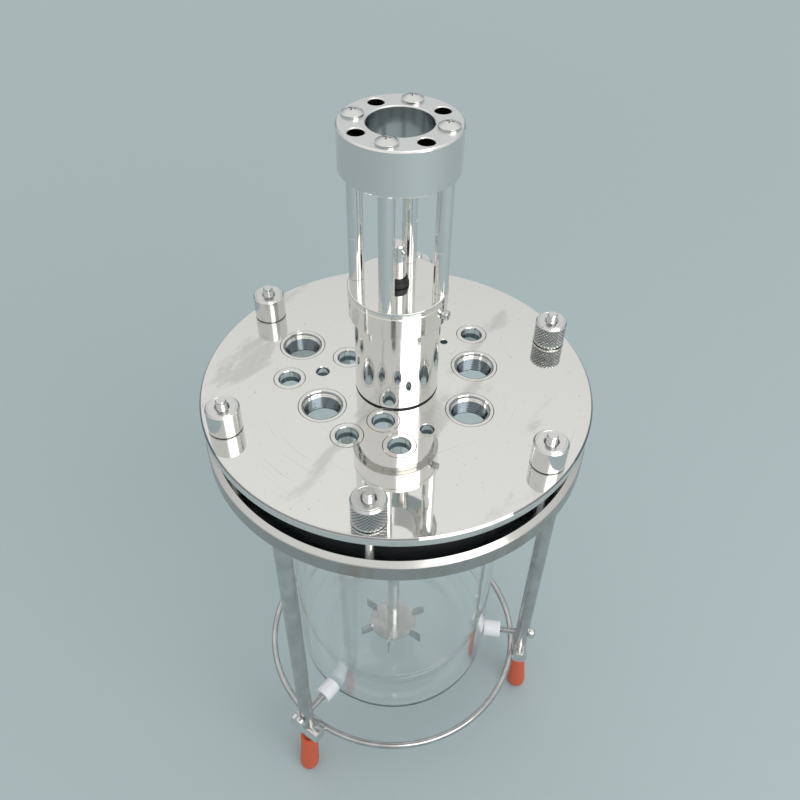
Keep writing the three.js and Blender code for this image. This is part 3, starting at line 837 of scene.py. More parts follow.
def turned_steel(name):
    """Turned steel with its lathe lines, and painted shade in the grooves of its threads and knurls."""
    finish = Finish(name, metallic=1.0)
    along = finish.attribute("along")
    coarse = finish.noise(finish.vector(along * 2600.0, 0.0, 0.0), 1.0, 3.0)
    fine = finish.noise(finish.vector(along * 9000.0, 3.0, 0.0), 1.0, 1.0)
    cloud = finish.noise(finish.place, 120.0, 3.0)
    # Painted shade: the grooves of threads and knurls are painted nearly black.
    groove = finish.attribute("groove").fade(0.45, 1.0)
    bright = finish.mix(coarse, colours().turned, toned(colours().turned, 1.12))
    finish.set(Base_Color=finish.mix(groove * 0.85, bright, (0.06, 0.055, 0.05)))
    finish.set(Roughness=0.10 + 0.10 * coarse + 0.08 * cloud + 0.25 * groove)
    finish.bump(coarse * 0.6 + fine * 0.4, 0.00002, 0.35)
    return finish.material


def drawn_steel(name):
    """Drawn steel rod, greyer than what is polished, with lines along it."""
    finish = Finish(name, metallic=1.0)
    x, y, z = finish.split(finish.place)
    lines = finish.noise(finish.vector(x * 2200.0, y * 2200.0, z * 40.0), 1.0, 3.0)
    cloud = finish.noise(finish.place, 70.0, 4.0, 0.6)
    dull = toned(colours().turned, 0.72)
    finish.set(Base_Color=finish.mix(cloud.fade(0.35, 0.7), dull, toned(dull, 1.25)))
    finish.set(Roughness=0.14 + 0.10 * lines + 0.08 * cloud)
    finish.bump(lines, 0.00001, 0.3)
    return finish.material


def satin_topped_steel(name):
    """Polished steel whose level top is left satin and painted a little lighter as painted highlight, and
    whose bore is rougher and painted darker as painted shade.
    """
    finish = Finish(name, metallic=1.0)
    radius, z = finish.radius_and_height()
    top = z.fade(HEAD_TOP - 0.5 * MM, HEAD_TOP - 0.3 * MM)
    lines = finish.noise(finish.vector(radius * 3500.0, z * 3500.0, 0.0), 1.0, 3.0)
    smears = finish.noise(finish.place, 60.0, 4.0, 0.6).fade(0.50, 0.72)
    sizes = bpy.context.scene.bioreactor_column
    # Painted shade: the bore is painted dark grey.
    bore = 1 - radius.fade(sizes.head_bore + 0.1 * MM, sizes.head_bore + 0.2 * MM)
    # Painted highlight: the level top is painted a little lighter than the steel.
    painted_light_top_tone = finish.mix(top, colours().steel, (0.80, 0.80, 0.79))
    finish.set(Base_Color=finish.mix(bore, painted_light_top_tone, (0.46, 0.47, 0.47)))
    finish.set(Roughness=0.05 + 0.22 * top + 0.10 * bore + 0.05 * smears + 0.03 * lines)
    finish.bump(lines * 0.6 + smears * 0.4, 0.00001, 0.25)
    return finish.material


def stained_ring_steel(name):
    """The clamping ring's steel, darker grey and rougher on its outer side, with tea-coloured runs there."""
    finish = Finish(name, metallic=1.0)
    radius, z = finish.radius_and_height()
    rim = bpy.context.scene.bioreactor_head.radius
    side = radius.fade(rim - 0.8 * MM, rim - 0.2 * MM)
    streaks = finish.noise(finish.scaled(finish.place, (1.0, 1.0, 0.25)), 90.0, 4.0, 0.6)
    runs = streaks.fade(0.45, 0.75) * side
    lines = finish.noise(finish.vector(radius * 3000.0, z * 3000.0, 0.0), 1.0, 2.0)
    # The outer side is made darker grey.
    darker_steel = finish.mix(side * 0.75, toned(colours().steel, 0.80), (0.36, 0.36, 0.355))
    finish.set(Base_Color=finish.mix(runs * 0.35, darker_steel, colours().stain))
    finish.set(Roughness=0.10 + 0.12 * side + 0.12 * runs + 0.04 * lines)
    finish.bump(lines, 0.00001, 0.3)
    return finish.material


def black_rubber(name):
    """Matt black rubber with a little dust."""
    finish = Finish(name)
    grain = finish.noise(finish.place, 2200.0, 2.0)
    dust = finish.noise(finish.place, 160.0, 4.0, 0.7).fade(0.55, 0.8)
    finish.set(Base_Color=finish.mix(dust * 0.25, colours().rubber, (0.10, 0.11, 0.13)))
    finish.set(Roughness=0.42 + 0.2 * grain)
    finish.bump(grain, 0.00004, 0.4)
    return finish.material


def orange_silicone(name):
    """Moulded orange silicone, greyed in patches towards the bottom."""
    finish = Finish(name)
    height = finish.split(finish.place)[2]
    cloud = finish.noise(finish.place, 180.0, 4.0, 0.6)
    grain = finish.noise(finish.place, 1800.0, 2.0)
    # Grey patches, fading out above the lowest 2 cm of the foot.
    low_grey_patches = cloud.fade(0.5, 0.75) * (1 - height.fade(0.0, 0.02))
    pale = [0.5 + 0.5 * part for part in colours().silicone]
    tone = finish.mix(cloud * 0.07, colours().silicone, pale)
    finish.set(Base_Color=finish.mix(low_grey_patches * 0.35, tone, (0.22, 0.12, 0.09)))
    finish.set(Roughness=0.42 + 0.16 * cloud)
    finish.set(Subsurface_Weight=0.12, Subsurface_Radius=(0.004, 0.0015, 0.0008), Subsurface_Scale=1.0)
    finish.bump(grain * 0.5 + cloud * 0.5, 0.00006, 0.35)
    return finish.material


def white_polymer(name):
    """Turned white polymer with a soft gloss."""
    finish = Finish(name)
    along = finish.attribute("along")
    rings = finish.noise(finish.vector(along * 3500.0, 0.0, 0.0), 1.0, 2.0)
    cloud = finish.noise(finish.place, 140.0, 3.0)
    tint = toned(colours().polymer, 0.9)
    finish.set(Base_Color=finish.mix(cloud * 0.4, colours().polymer, tint))
    finish.set(Roughness=0.28 + 0.14 * rings)
    finish.set(Subsurface_Weight=0.1, Subsurface_Radius=(0.002, 0.002, 0.002), Subsurface_Scale=1.0)
    finish.bump(rings, 0.00003, 0.3)
    return finish.material


def clear_glass(name):
    """Clear borosilicate glass with faint smears, which casts hardly any shadow."""
    finish = Finish(name)
    smears = finish.noise(finish.place, 30.0, 4.0, 0.6).fade(0.58, 0.85)
    finish.set(Base_Color=padded(colours().glass), IOR=1.47, Transmission_Weight=1.0)
    finish.set(Roughness=0.02 * smears)
    glass = Signal(finish, finish.shader.outputs[0])
    shade = finish.node("ShaderNodeLightPath").signal("Is Shadow Ray")
    clear = finish.node("ShaderNodeBsdfTransparent", inputs={0: (0.94, 0.96, 0.96, 1.0)}).signal(0)
    mixed = finish.node("ShaderNodeMixShader", inputs={0: shade, 1: glass, 2: clear})
    finish.feed(finish.nodes.nodes["Material Output"].inputs["Surface"], mixed.signal(0))
    return finish.material


# ---------- Head: lid, clamping ring, gasket ----------

class BIOREACTOR_OT_clamp_ring(bpy.types.Operator):
    """Clamping ring under the lid"""

    bl_idname = "bioreactor.clamp_ring"
    bl_label = "Clamping ring"

    def execute(self, context):
        sizes = context.scene.bioreactor_head
        outline = eased([
            (sizes.ring_bore, CLAMP_BASE, 0.3 * MM),
            (sizes.radius - sizes.edge_break, CLAMP_BASE, 0.15 * MM),
            (sizes.radius, CLAMP_BASE + sizes.edge_break, 0.15 * MM),
            (sizes.radius, CLAMP_TOP - sizes.ring_bevel_height, 0.15 * MM),
            (sizes.radius - sizes.ring_bevel_width, CLAMP_TOP, 0.15 * MM),
            (sizes.ring_bore, CLAMP_TOP, 0.3 * MM),
        ], closed=True)
        mesh = to_mesh(turned(outline, FINE_SIDES, closed=True), "clamp_ring")
        settle("clamping_ring", mesh, STAND, stained_ring_steel, "polished_steel", "clamp_ring")
        return {"FINISHED"}


class BIOREACTOR_OT_gasket(bpy.types.Operator):
    """Rubber ring that wraps the vessel's flange"""

    bl_idname = "bioreactor.gasket"
    bl_label = "Gasket"

    def execute(self, context):
        sizes = context.scene.bioreactor_vessel
        low, high = base_of("flange_gasket"), top_of("flange_gasket")
        ring_bore = context.scene.bioreactor_head.ring_bore + 0.5 * MM
        cavity = sizes.flange + 0.3 * MM
        outline = eased([
            (ring_bore, low, 0.5 * MM),
            (sizes.gasket_radius, low, 0.9 * MM),
            (sizes.gasket_radius, high, 0.9 * MM),
            (sizes.gasket_bore, high, 0.5 * MM),
            (sizes.gasket_bore, high - sizes.gasket_lip, 0.5 * MM),
            (cavity, high - sizes.gasket_lip),
            (cavity, low + sizes.gasket_lip),
            (ring_bore, low + sizes.gasket_lip, 0.5 * MM),
        ], closed=True)
        mesh = to_mesh(turned(outline, FINE_SIDES, closed=True), "flange_seal")
        settle("flange_seal", mesh, STAND, black_rubber, "black_rubber", "flange_gasket")
        return {"FINISHED"}


def port_places(sizes):
    """Every port as (place, bore radius, has a thread)."""
    ports = [(place, sizes.probe_bore / 2, True) for place in opening_places("probe_port")]
    ports += [(place, sizes.thermowell_bore / 2, False) for place in opening_places("thermowell_port")]
    ports += [(place, sizes.addition_bore / 2, False) for place in opening_places("addition_port")]
    ports.append((polar(sizes.vent_circle, sizes.vent_angle), sizes.vent_bore / 2, False))
    return ports


def hole_cutter(place, radius, bevel, base, top):
    """The tool that cuts a hole down from a top face, with its bevelled mouth."""
    outline = [
        (0, base),
        (radius, base),
        (radius, top - bevel),
        (radius + bevel + MM, top + MM),
        (0, top + MM),
    ]
    form = moved(turned(outline, SMALL_SIDES), Matrix.Translation((*place, 0)))
    return to_mesh(form, "hole cutter")


def groove_cutter(place, radius, width):
    """The tool that cuts a fine V groove round a port."""
    outline = [
        (radius, LID_TOP - 0.8 * width),
        (radius + width, LID_TOP + width),
        (radius - width, LID_TOP + width),
    ]
    form = moved(turned(outline, ROUND_SIDES, closed=True), Matrix.Translation((*place, 0)))
    return to_mesh(form, "groove cutter")


def port_liner(place, sizes, radius):
    """The threaded wall of a port, from its mouth down through its boss."""
    wall = sizes.boss_wall
    top = LID_TOP - sizes.bevel
    base = LID_TOP - sizes.port_depth
    outline = [*straight(radius, base, top, 96), (radius + wall, top), (radius + wall, base)]
    mesh = to_mesh(turned(outline, ROUND_SIDES, closed=True), "port liner")
    mesh = grown(
        mesh, cut_pattern, Pitch=sizes.thread_pitch, Depth=-sizes.thread_depth,
        From=base, To=top, Least=0.0,
    )
    return shifted(mesh, place)


def shifted(mesh, place):
    """A mesh moved level to a place."""
    mesh.transform(Matrix.Translation((*place, 0)))
    return mesh


class BIOREACTOR_OT_lid(bpy.types.Operator):
    """Lid plate with its ports and their bosses"""

    bl_idname = "bioreactor.lid"
    bl_label = "Lid"

    def execute(self, context):
        sizes = context.scene.bioreactor_head
        ports = context.scene.bioreactor_ports
        under = LID_TOP - sizes.lid_thickness
        outline = [
            (0, under),
            (sizes.radius - sizes.edge_break, under),
            (sizes.radius, under + sizes.edge_break),
            (sizes.radius, LID_TOP - sizes.lid_edge),
            (sizes.radius - sizes.lid_edge, LID_TOP),
            (0, LID_TOP),
        ]
        plate = to_mesh(turned(outline, FINE_SIDES), "lid")
        cutters = []
        extras = []
        for place, radius, threaded in port_places(ports):
            open_radius = radius + ports.thread_depth if threaded else radius
            bevel = min(ports.bevel, 0.1 * radius)
            cutters.append(hole_cutter(place, open_radius, bevel, LID_TOP - 30 * MM, LID_TOP))
            if radius > ports.vent_bore:
                cutters.append(groove_cutter(place, radius + ports.weld_ring_gap, ports.weld_groove / 2))
            if threaded:
                extras.append(port_liner(place, ports, radius))
            else:
                extras.append(boss(place, ports, radius, under))
        hole = turned([(0, 0), (sizes.column_hole, 0), (sizes.column_hole, 1), (0, 1)], ROUND_SIDES)
        cutters.append(to_mesh(hole, "column hole"))
        mesh = joined([carved(plate, cutters), *extras], "lid")
        settle("lid", smoothed(mesh), STAND, lid_steel, "polished_steel", "lid_plate")
        return {"FINISHED"}


def boss(place, sizes, radius, under):
    """The short tube welded under the lid round a plain port."""
    wall, depth = sizes.boss_wall, sizes.boss_depth
    outline = eased([
        (radius, under - depth, 0.2 * MM),
        (radius + wall, under - depth, 0.3 * MM),
        (radius + wall, under + 0.1 * MM),
        (radius, under + 0.1 * MM),
    ], closed=True)
    return shifted(to_mesh(turned(outline, SMALL_SIDES, closed=True), "boss"), place)


class BIOREACTOR_OT_closures(bpy.types.Operator):
    """Closure studs and their thumb nuts"""

    bl_idname = "bioreactor.closures"
    bl_label = "Closures"

    def execute(self, context):
        sizes = context.scene.bioreactor_head
        nodes = numbered("closure_stud", 6)
        stud = closure_stud(sizes, base_of(nodes[0]), top_of(nodes[0]))
        mesh = grown(
            stud, ring_of_copies, turned_steel,
            Count=len(nodes), Radius=circle_of(nodes[0]), Start=bearing_of(nodes[0]),
        )
        settle("closure_studs", smoothed(mesh), STAND, turned_steel, "turned_steel", *nodes)
        for number, node in enumerate(numbered("thumb_nut", 6), start=1):
            knurled = number in (2, 6)
            mesh = shifted(thumb_nut(sizes, knurled), middle_of(node).xy)
            settle(f"nut_{number}", mesh, f"nut_{number}", turned_steel, "turned_steel", node)
        return {"FINISHED"}


def closure_stud(sizes, base, top):
    """One stud at the axis, threaded where it shows."""
    tip = 0.6 * MM
    start = LID_TOP + sizes.nut_height - 1.5 * MM
    shank = straight(sizes.stud_radius, start, top - tip, 48)
    outline = [(0, base), (sizes.stud_radius, base), *shank, (sizes.stud_radius - tip, top), (0, top)]
    mesh = to_mesh(turned(outline, SMALL_SIDES), "stud")
    return grown(
        mesh, cut_pattern, Pitch=sizes.stud_pitch, Depth=0.55 * sizes.stud_pitch,
        From=start, To=top - tip, Least=0.5 * sizes.stud_radius,
    )


def thumb_nut(sizes, knurled):
    """One nut at the axis, plain or with a diamond knurl."""
    base, top = LID_TOP, LID_TOP + sizes.nut_height
    bore = sizes.stud_radius + 0.15 * MM
    bevel = sizes.nut_bevel
    relief = 0.5 * MM
    low, high = base + relief + 0.4 * MM, top - bevel
    rows, sides = (96, 288) if knurled else (1, ROUND_SIDES)
    side = straight(sizes.nut_radius, low, high, rows)
    outline = [
        (bore, base), (sizes.nut_radius - 1.3 * MM, base), (sizes.nut_radius - 1.3 * MM, base + relief),
        (sizes.nut_radius - 0.4 * MM, base + relief), *side,
        (sizes.nut_radius - bevel, top),
        (sizes.nut_radius - bevel - 0.7 * MM, top),
        (sizes.nut_radius - bevel - 0.85 * MM, top - 0.12 * MM),
        (sizes.nut_radius - bevel - MM, top),
        (bore + MM, top), (bore, top - MM),
    ]
    mesh = to_mesh(turned(outline, sides, closed=True), "nut")
    if not knurled:
        return mesh
    starts = round(math.tau * sizes.nut_radius / sizes.knurl_pitch)
    return smoothed(grown(
        mesh, cut_pattern, Starts=float(starts), Pitch=sizes.knurl_pitch, Depth=sizes.knurl_depth,
        Crossed=1.0, From=low + 0.5 * MM, To=high - 0.5 * MM, Least=sizes.nut_radius - 0.2 * MM,
    ))


# ---------- Glass vessel ----------

def swept_shoulder(start_radius, stop_radius, start, stop, steps=24):
    """A smooth S between two radii over a height."""
    points = []
    for step in range(steps + 1):
        share = step / steps
        blend = (1 - math.cos(math.pi * share)) / 2
        points.append((start_radius + (stop_radius - start_radius) * blend, start + (stop - start) * share))
    return points


def oval_corner(centre_radius, centre_height, reach, rise, start, stop, steps):
    """An arc of an oval in an outline, between two angles in degrees."""
    points = []
    for step in range(steps + 1):
        angle = math.radians(start + (stop - start) * step / steps)
        points.append((centre_radius + reach * math.cos(angle), centre_height + rise * math.sin(angle)))
    return points


def round_corner(centre_radius, centre_height, radius, start, stop, steps=16):
    """An arc of a circle in an outline, between two angles in degrees."""
    return oval_corner(centre_radius, centre_height, radius, radius, start, stop, steps)


def straight(radius, low, high, rows):
    """A straight side of an outline, in rows fine enough for a pattern to be cut."""
    return [(radius, low + (high - low) * row / rows) for row in range(rows + 1)]


class BIOREACTOR_OT_vessel(bpy.types.Operator):
    """Glass vessel with its flanged mouth"""

    bl_idname = "bioreactor.vessel"
    bl_label = "Vessel"

    def execute(self, context):
        sizes = context.scene.bioreactor_vessel
        base, top = base_of("glass_vessel"), top_of("glass_vessel")
        neck_base = top - sizes.neck
        shoulder_base = neck_base - sizes.shoulder
        inner = sizes.radius - sizes.wall
        inner_corner = sizes.corner - sizes.wall
        outer_neck = sizes.mouth + sizes.neck_wall
        flange_base = CLAMP_TOP + sizes.gasket_lip + 0.3 * MM
        floor_top = base + sizes.floor
        outline = [
            (0, base),
            *round_corner(sizes.radius - sizes.corner, base + sizes.corner, sizes.corner, -90, 0),
            *swept_shoulder(sizes.radius, outer_neck, shoulder_base, neck_base),
            (outer_neck, flange_base),
            (sizes.flange, flange_base),
            (sizes.flange, top),
            (sizes.mouth, top),
            *swept_shoulder(sizes.mouth, inner, neck_base, shoulder_base),
            *round_corner(inner - inner_corner, floor_top + inner_corner, inner_corner, 0, -90),
            (0, floor_top),
        ]
        mesh = to_mesh(turned(outline, FINE_SIDES), "vessel")
        settle("vessel", mesh, STAND, clear_glass, "clear_glass", "glass_vessel")
        return {"FINISHED"}


# ---------- Bearing column and motor frame ----------

class BIOREACTOR_OT_column(bpy.types.Operator):
    """Bearing column with its collar, cover and side screw"""

    bl_idname = "bioreactor.column"
    bl_label = "Column"

    def execute(self, context):
        sizes = context.scene.bioreactor_column
        collar_base = HOUSING_TOP - sizes.collar_height
        seat = 2 * sizes.o_ring + 0.2 * MM
        spigot = context.scene.bioreactor_head.column_hole - 0.3 * MM
        outline = eased([
            (sizes.bearing_radius, base_of("bearing_housing")),
            (spigot, base_of("bearing_housing"), 0.4 * MM),
            (spigot, LID_TOP),
            (sizes.radius - seat, LID_TOP),
            (sizes.radius - seat, LID_TOP + seat),
            (sizes.radius, LID_TOP + seat, 0.15 * MM),
            (sizes.radius, collar_base, 0.3 * MM),
            (sizes.collar_radius, collar_base, 0.5 * MM),
            (sizes.collar_radius, HOUSING_TOP - 0.35 * MM),
            (sizes.collar_radius - 0.35 * MM, HOUSING_TOP),
            (sizes.bearing_radius, HOUSING_TOP),
        ], closed=True)
        mesh = to_mesh(turned(outline, FINE_SIDES, closed=True), "column")
        settle("column", mesh, STAND, polished_steel, "polished_steel", "bearing_housing")
        outline = eased([
            (sizes.cover_bore, HOUSING_TOP),
            (sizes.collar_radius - 0.3 * MM, HOUSING_TOP),
            (sizes.collar_radius, HOUSING_TOP + 0.3 * MM),
            (sizes.collar_radius, COVER_TOP, 0.6 * MM),
            (sizes.cover_bore, COVER_TOP, 0.3 * MM),
        ], closed=True)
        mesh = to_mesh(turned(outline, FINE_SIDES, closed=True), "cover")
        settle("column_cover", mesh, STAND, polished_steel, "polished_steel", "bearing_cover")
        seal_circle = sizes.radius - sizes.o_ring - 0.1 * MM
        ring = round_corner(seal_circle, LID_TOP + sizes.o_ring, sizes.o_ring, 0, 330, 11)
        mesh = to_mesh(turned(ring, FINE_SIDES, closed=True), "seal ring")
        settle("column_seal_ring", mesh, STAND, black_rubber, "black_rubber", "column_o_ring")
        self.side_screw(sizes)
        return {"FINISHED"}

    def side_screw(self, sizes):
        """The small screw in the collar's side."""
        shank, head, side = 1.8 * MM, 2.5 * MM, sizes.collar_radius
        inner, under, top = side - 6 * MM, side + 0.3 * MM, side + 3.2 * MM
        outline = eased([
            (0, inner),
            (shank, inner),
            (shank, under),
            (head, under, 0.2 * MM),
            (head, top, 0.5 * MM),
            (1.3 * MM, top, 0.1 * MM),
            (1.2 * MM, top - MM),
            (0, top - MM),
        ])
        bearing = bearing_of("collar_side_screw") + sizes.side_screw_turn
        place = turned_to(bearing) @ laid_along_x(middle_of("collar_side_screw").z)
        mesh = to_mesh(moved(turned(outline, SMALL_SIDES), place), "side screw")
        settle("side_screw", mesh, STAND, turned_steel, "turned_steel", "collar_side_screw")


def standoff_rod(sizes):
    """One rod at the axis, with spanner flats."""
    rod = to_mesh(turned(eased([
        (0, COVER_TOP - 2 * MM),
        (2.5 * MM, COVER_TOP - 2 * MM),
        (2.5 * MM, COVER_TOP),
        (sizes.rod_radius, COVER_TOP, 0.3 * MM),
        (sizes.rod_radius, HEAD_BASE, 0.3 * MM),
        (0, HEAD_BASE),
    ]), ROUND_SIDES), "rod")
    centre = COVER_TOP + sizes.flats_rise + sizes.flats_height / 2
    offset = sizes.rod_flats / 2 + sizes.rod_radius
    cutters = []
    for side in (-1, 1):
        block = slab((4 * sizes.rod_radius, 2 * sizes.rod_radius, sizes.flats_height))
        cutters.append(to_mesh(moved(block, Matrix.Translation((0, side * offset, centre))), "flat"))
    return carved(rod, cutters)


def oblong(reach, half, height):
    """The corners of a level rectangle about the axis."""
    return [(-reach, -half, height), (reach, -half, height), (reach, half, height), (-reach, half, height)]


def pan_screw(sizes):
    """One pan-head screw at the axis, with a cross recess."""
    shank = 2.5 * MM
    edge = HEAD_TOP + 0.4 * sizes.screw_height
    outline = [
        (0, HEAD_TOP - 2 * MM),
        (shank, HEAD_TOP - 2 * MM),
        (shank, HEAD_TOP),
        (sizes.screw_head - 0.15 * MM, HEAD_TOP),
        (sizes.screw_head, HEAD_TOP + 0.15 * MM),
        (sizes.screw_head, edge - 0.35 * MM),
        (sizes.screw_head - 0.12 * MM, edge - 0.1 * MM),
    ]
    cap, steps = sizes.screw_head - 0.4 * MM, 12
    for step in range(steps + 1):
        share = 1 - step / steps
        outline.append((cap * share, edge + 0.6 * sizes.screw_height * (1 - share * share)))
    screw = to_mesh(turned(outline, SMALL_SIDES), "screw")
    top = HEAD_TOP + sizes.screw_height
    arms = []
    for turn in (0, math.pi / 2):
        block = stacked([
            oblong(0.65 * sizes.recess, 0.3 * MM, top - 1.5 * MM),
            oblong(sizes.recess, 0.42 * MM, top + 0.2 * MM),
        ])
        arms.append(to_mesh(moved(block, turned_to(turn)), "recess"))
    return carved(carved(screw, arms[:1]), arms[1:])


class BIOREACTOR_OT_motor_frame(bpy.types.Operator):
    """Four rods, the head ring on them and its screws"""

    bl_idname = "bioreactor.motor_frame"
    bl_label = "Motor frame"

    def execute(self, context):
        sizes = context.scene.bioreactor_column
        rods = numbered("standoff_rod", 4)
        screws = numbered("head_screw", 4)
        circle, start = circle_of(rods[0]), bearing_of(rods[0])
        place = {"Count": 4, "Radius": circle, "Start": start}
        mesh = grown(standoff_rod(sizes), ring_of_copies, turned_steel, **place)
        settle("rods", smoothed(mesh), STAND, polished_steel, "turned_steel", *rods)
        mesh = grown(pan_screw(sizes), ring_of_copies, turned_steel, **place)
        settle("pan_screws", smoothed(mesh), STAND, turned_steel, "turned_steel", *screws)
        self.head(sizes, circle, start)
        return {"FINISHED"}

    def head(self, sizes, circle, start):
        """The ring on the rods, with its free holes."""
        edge = 0.8 * MM
        outline = [
            (sizes.head_bore, HEAD_BASE + 0.3 * MM),
            (sizes.head_bore + 0.3 * MM, HEAD_BASE),
            (sizes.head_radius - edge, HEAD_BASE),
            (sizes.head_radius, HEAD_BASE + edge),
            (sizes.head_radius, HEAD_TOP - edge),
            (sizes.head_radius - edge, HEAD_TOP),
            (sizes.head_bore + 0.6 * MM, HEAD_TOP),
            (sizes.head_bore, HEAD_TOP - 0.6 * MM),
        ]
        ring = to_mesh(turned(outline, FINE_SIDES, closed=True), "head")
        cutters = []
        for number in range(4):
            spot = polar(circle, start + math.pi / 4 + number * math.pi / 2)
            cutters.append(hole_cutter(spot, sizes.bolt_hole, 0.5 * MM, HEAD_BASE - MM, HEAD_TOP))
        settle("head", carved(ring, cutters), STAND, satin_topped_steel, "polished_steel", "head_ring")


# ---------- Agitator ----------

class BIOREACTOR_OT_agitator(bpy.types.Operator):
    """Shaft, drive pin, turbine and running seal"""

    bl_idname = "bioreactor.agitator"
    bl_label = "Agitator"

    def execute(self, context):
        sizes = context.scene.bioreactor_agitator
        low, high = base_of("agitator_shaft"), top_of("agitator_shaft")
        step = base_of("lower_bearing_inner_race")
        outline = eased([
            (0, low),
            (sizes.shaft, low, 0.2 * MM),
            (sizes.shaft, step, 0.2 * MM),
            (sizes.journal, step),
            (sizes.journal, high - 0.7 * MM, 0.15 * MM),
            (sizes.journal - 0.7 * MM, high, 0.15 * MM),
            (0, high),
        ])
        mesh = to_mesh(turned(outline, ROUND_SIDES), "shaft")
        settle("shaft", mesh, AGITATOR, polished_steel, "turned_steel", "agitator_shaft")
        self.pin(sizes)
        self.turbine(sizes, low)
        self.seal()
        return {"FINISHED"}

    def pin(self, sizes):
        """The cross pin near the shaft's end."""
        half = sizes.pin_length / 2
        outline = eased([
            (0, -half),
            (sizes.pin_radius, -half, 0.3 * MM),
            (sizes.pin_radius, half, 0.3 * MM),
            (0, half),
        ])
        place = turned_to(sizes.pin_turn) @ laid_along_x(middle_of("drive_pin").z)
        form = moved(turned(outline, SMALL_SIDES), place)
        settle("pin", to_mesh(form, "pin"), AGITATOR, turned_steel, "turned_steel", "drive_pin")

    def turbine(self, sizes, low):
        """The disc with its hub and blades."""
        disc_base = low + sizes.hub_length
        disc_top = disc_base + sizes.disc_thickness
        outline = eased([
            (sizes.shaft, low, 0.3 * MM),
            (sizes.hub, low, 0.4 * MM),
            (sizes.hub, disc_base),
            (sizes.disc, disc_base, 0.2 * MM),
            (sizes.disc, disc_top, 0.2 * MM),
            (sizes.shaft, disc_top),
        ], closed=True)
        disc = to_mesh(turned(outline, ROUND_SIDES, closed=True), "disc")
        centre = Vector((sizes.blade_reach - sizes.blade_length / 2, 0, (disc_base + disc_top) / 2))
        blade = slab((sizes.blade_length, sizes.blade_thickness, sizes.blade_height), 0.12 * MM)
        blade = to_mesh(moved(blade, Matrix.Translation(centre)), "blade")
        blades = grown(blade, ring_of_copies, drawn_steel, Count=sizes.blades, Radius=0.0, Start=0.0)
        mesh = smoothed(joined([disc, blades], "turbine"))
        settle("turbine", mesh, AGITATOR, drawn_steel, "turned_steel", "disc_turbine")

    def seal(self):
        """The rubber ring that turns on the cover."""
        low, high = base_of("v_ring_seal"), top_of("v_ring_seal")
        bore, heel, lip = 4.05 * MM, 5.8 * MM, 5.05 * MM
        outline = eased([
            (bore, low),
            (heel, low, 0.2 * MM),
            (heel, low + (high - low) / 3, 0.3 * MM),
            (lip, low + (high - low) / 2, 0.2 * MM),
            (lip, high, 0.5 * MM),
            (bore, high, 0.2 * MM),
        ], closed=True)
        mesh = to_mesh(turned(outline, SMALL_SIDES, closed=True), "seal")
        settle("running_seal", mesh, AGITATOR, black_rubber, "black_rubber", "v_ring_seal")


# ---------- Legs, hoop and adjusters ----------

class BIOREACTOR_OT_legs(bpy.types.Operator):
    """Three legs with their cross blocks and feet"""

    bl_idname = "bioreactor.legs"
    bl_label = "Legs"

    def execute(self, context):
        sizes = context.scene.bioreactor_legs
        nodes = numbered("leg", 3)
        circle, start = circle_of(nodes[0]), bearing_of(nodes[0])
        place = {"Count": 3, "Radius": 0.0, "Start": start}
        mesh = grown(leg(sizes, circle), ring_of_copies, drawn_steel, **place)
        settle("legs", smoothed(mesh), STAND, drawn_steel, "turned_steel", *nodes)
        mesh = grown(cross_block(sizes, circle), ring_of_copies, drawn_steel, **place)
        settle("blocks", smoothed(mesh), STAND, turned_steel, "turned_steel", *numbered("cross_block", 3))
        mesh = grown(foot(sizes, circle), ring_of_copies, drawn_steel, **place)
        settle("feet", smoothed(mesh), STAND, orange_silicone, "orange_silicone", *numbered("foot", 3))
        return {"FINISHED"}


def leg(sizes, circle):
    """One leg, drawn with its radius along X."""
    block_top = top_of("cross_block_1")
    outline = eased([
        (0, top_of("foot_1") - 12 * MM),
        (sizes.stem, top_of("foot_1") - 12 * MM),
        (sizes.stem, block_top),
        (sizes.leg, block_top, 0.5 * MM),
        (sizes.leg, CLAMP_BASE, 0.2 * MM),
        (0, CLAMP_BASE),
    ])
    return to_mesh(moved(turned(outline, ROUND_SIDES), Matrix.Translation((circle, 0, 0))), "leg")


def cross_block(sizes, circle):
    """One block, drawn with its radius along X: a short round bar with two flats."""
    centre = (base_of("cross_block_1") + top_of("cross_block_1")) / 2
    half_flats = sizes.block_flats / 2
    limit = math.asin(half_flats / sizes.block)
    steps = 16
    section = []
    for turn in (0, math.pi):
        for step in range(steps + 1):
            angle = turn - limit + 2 * limit * step / steps
            section.append((sizes.block * math.cos(angle), sizes.block * math.sin(angle)))
    half = sizes.block_length / 2
    rings = []
    for y, inset in ((-half, 0.5), (-half + 0.5 * MM, 0), (half - 0.5 * MM, 0), (half, 0.5)):
        shrink = 1 - inset * MM / sizes.block
        rings.append([(circle + shrink * x, y, centre + shrink * z) for x, z in section])
    return to_mesh(stacked(rings), "block")


def foot(sizes, circle):
    """One foot, drawn with its radius along X, leaning outwards at the bottom."""
    height = top_of("foot_1")
    reach, rounding = sizes.foot - sizes.foot_patch, sizes.foot_rounding
    socket = sizes.stem + 0.3 * MM
    outline = [
        (0, 0),
        *oval_corner(sizes.foot_patch, rounding, reach, rounding, -90, 0, 12),
        (sizes.foot_top, height - sizes.bead),
        *oval_corner(sizes.foot_top, height - sizes.bead / 2, 0.3 * MM, sizes.bead / 2, -90, 90, 6),
        (socket, height),
        (socket, height - 3 * MM),
        (0, height - 3 * MM),
    ]
    form = turned(outline, SMALL_SIDES)
    for spot in form.verts:
        spot.co.x += circle + sizes.foot_lean * (height - spot.co.z) / height
    return to_mesh(form, "foot")


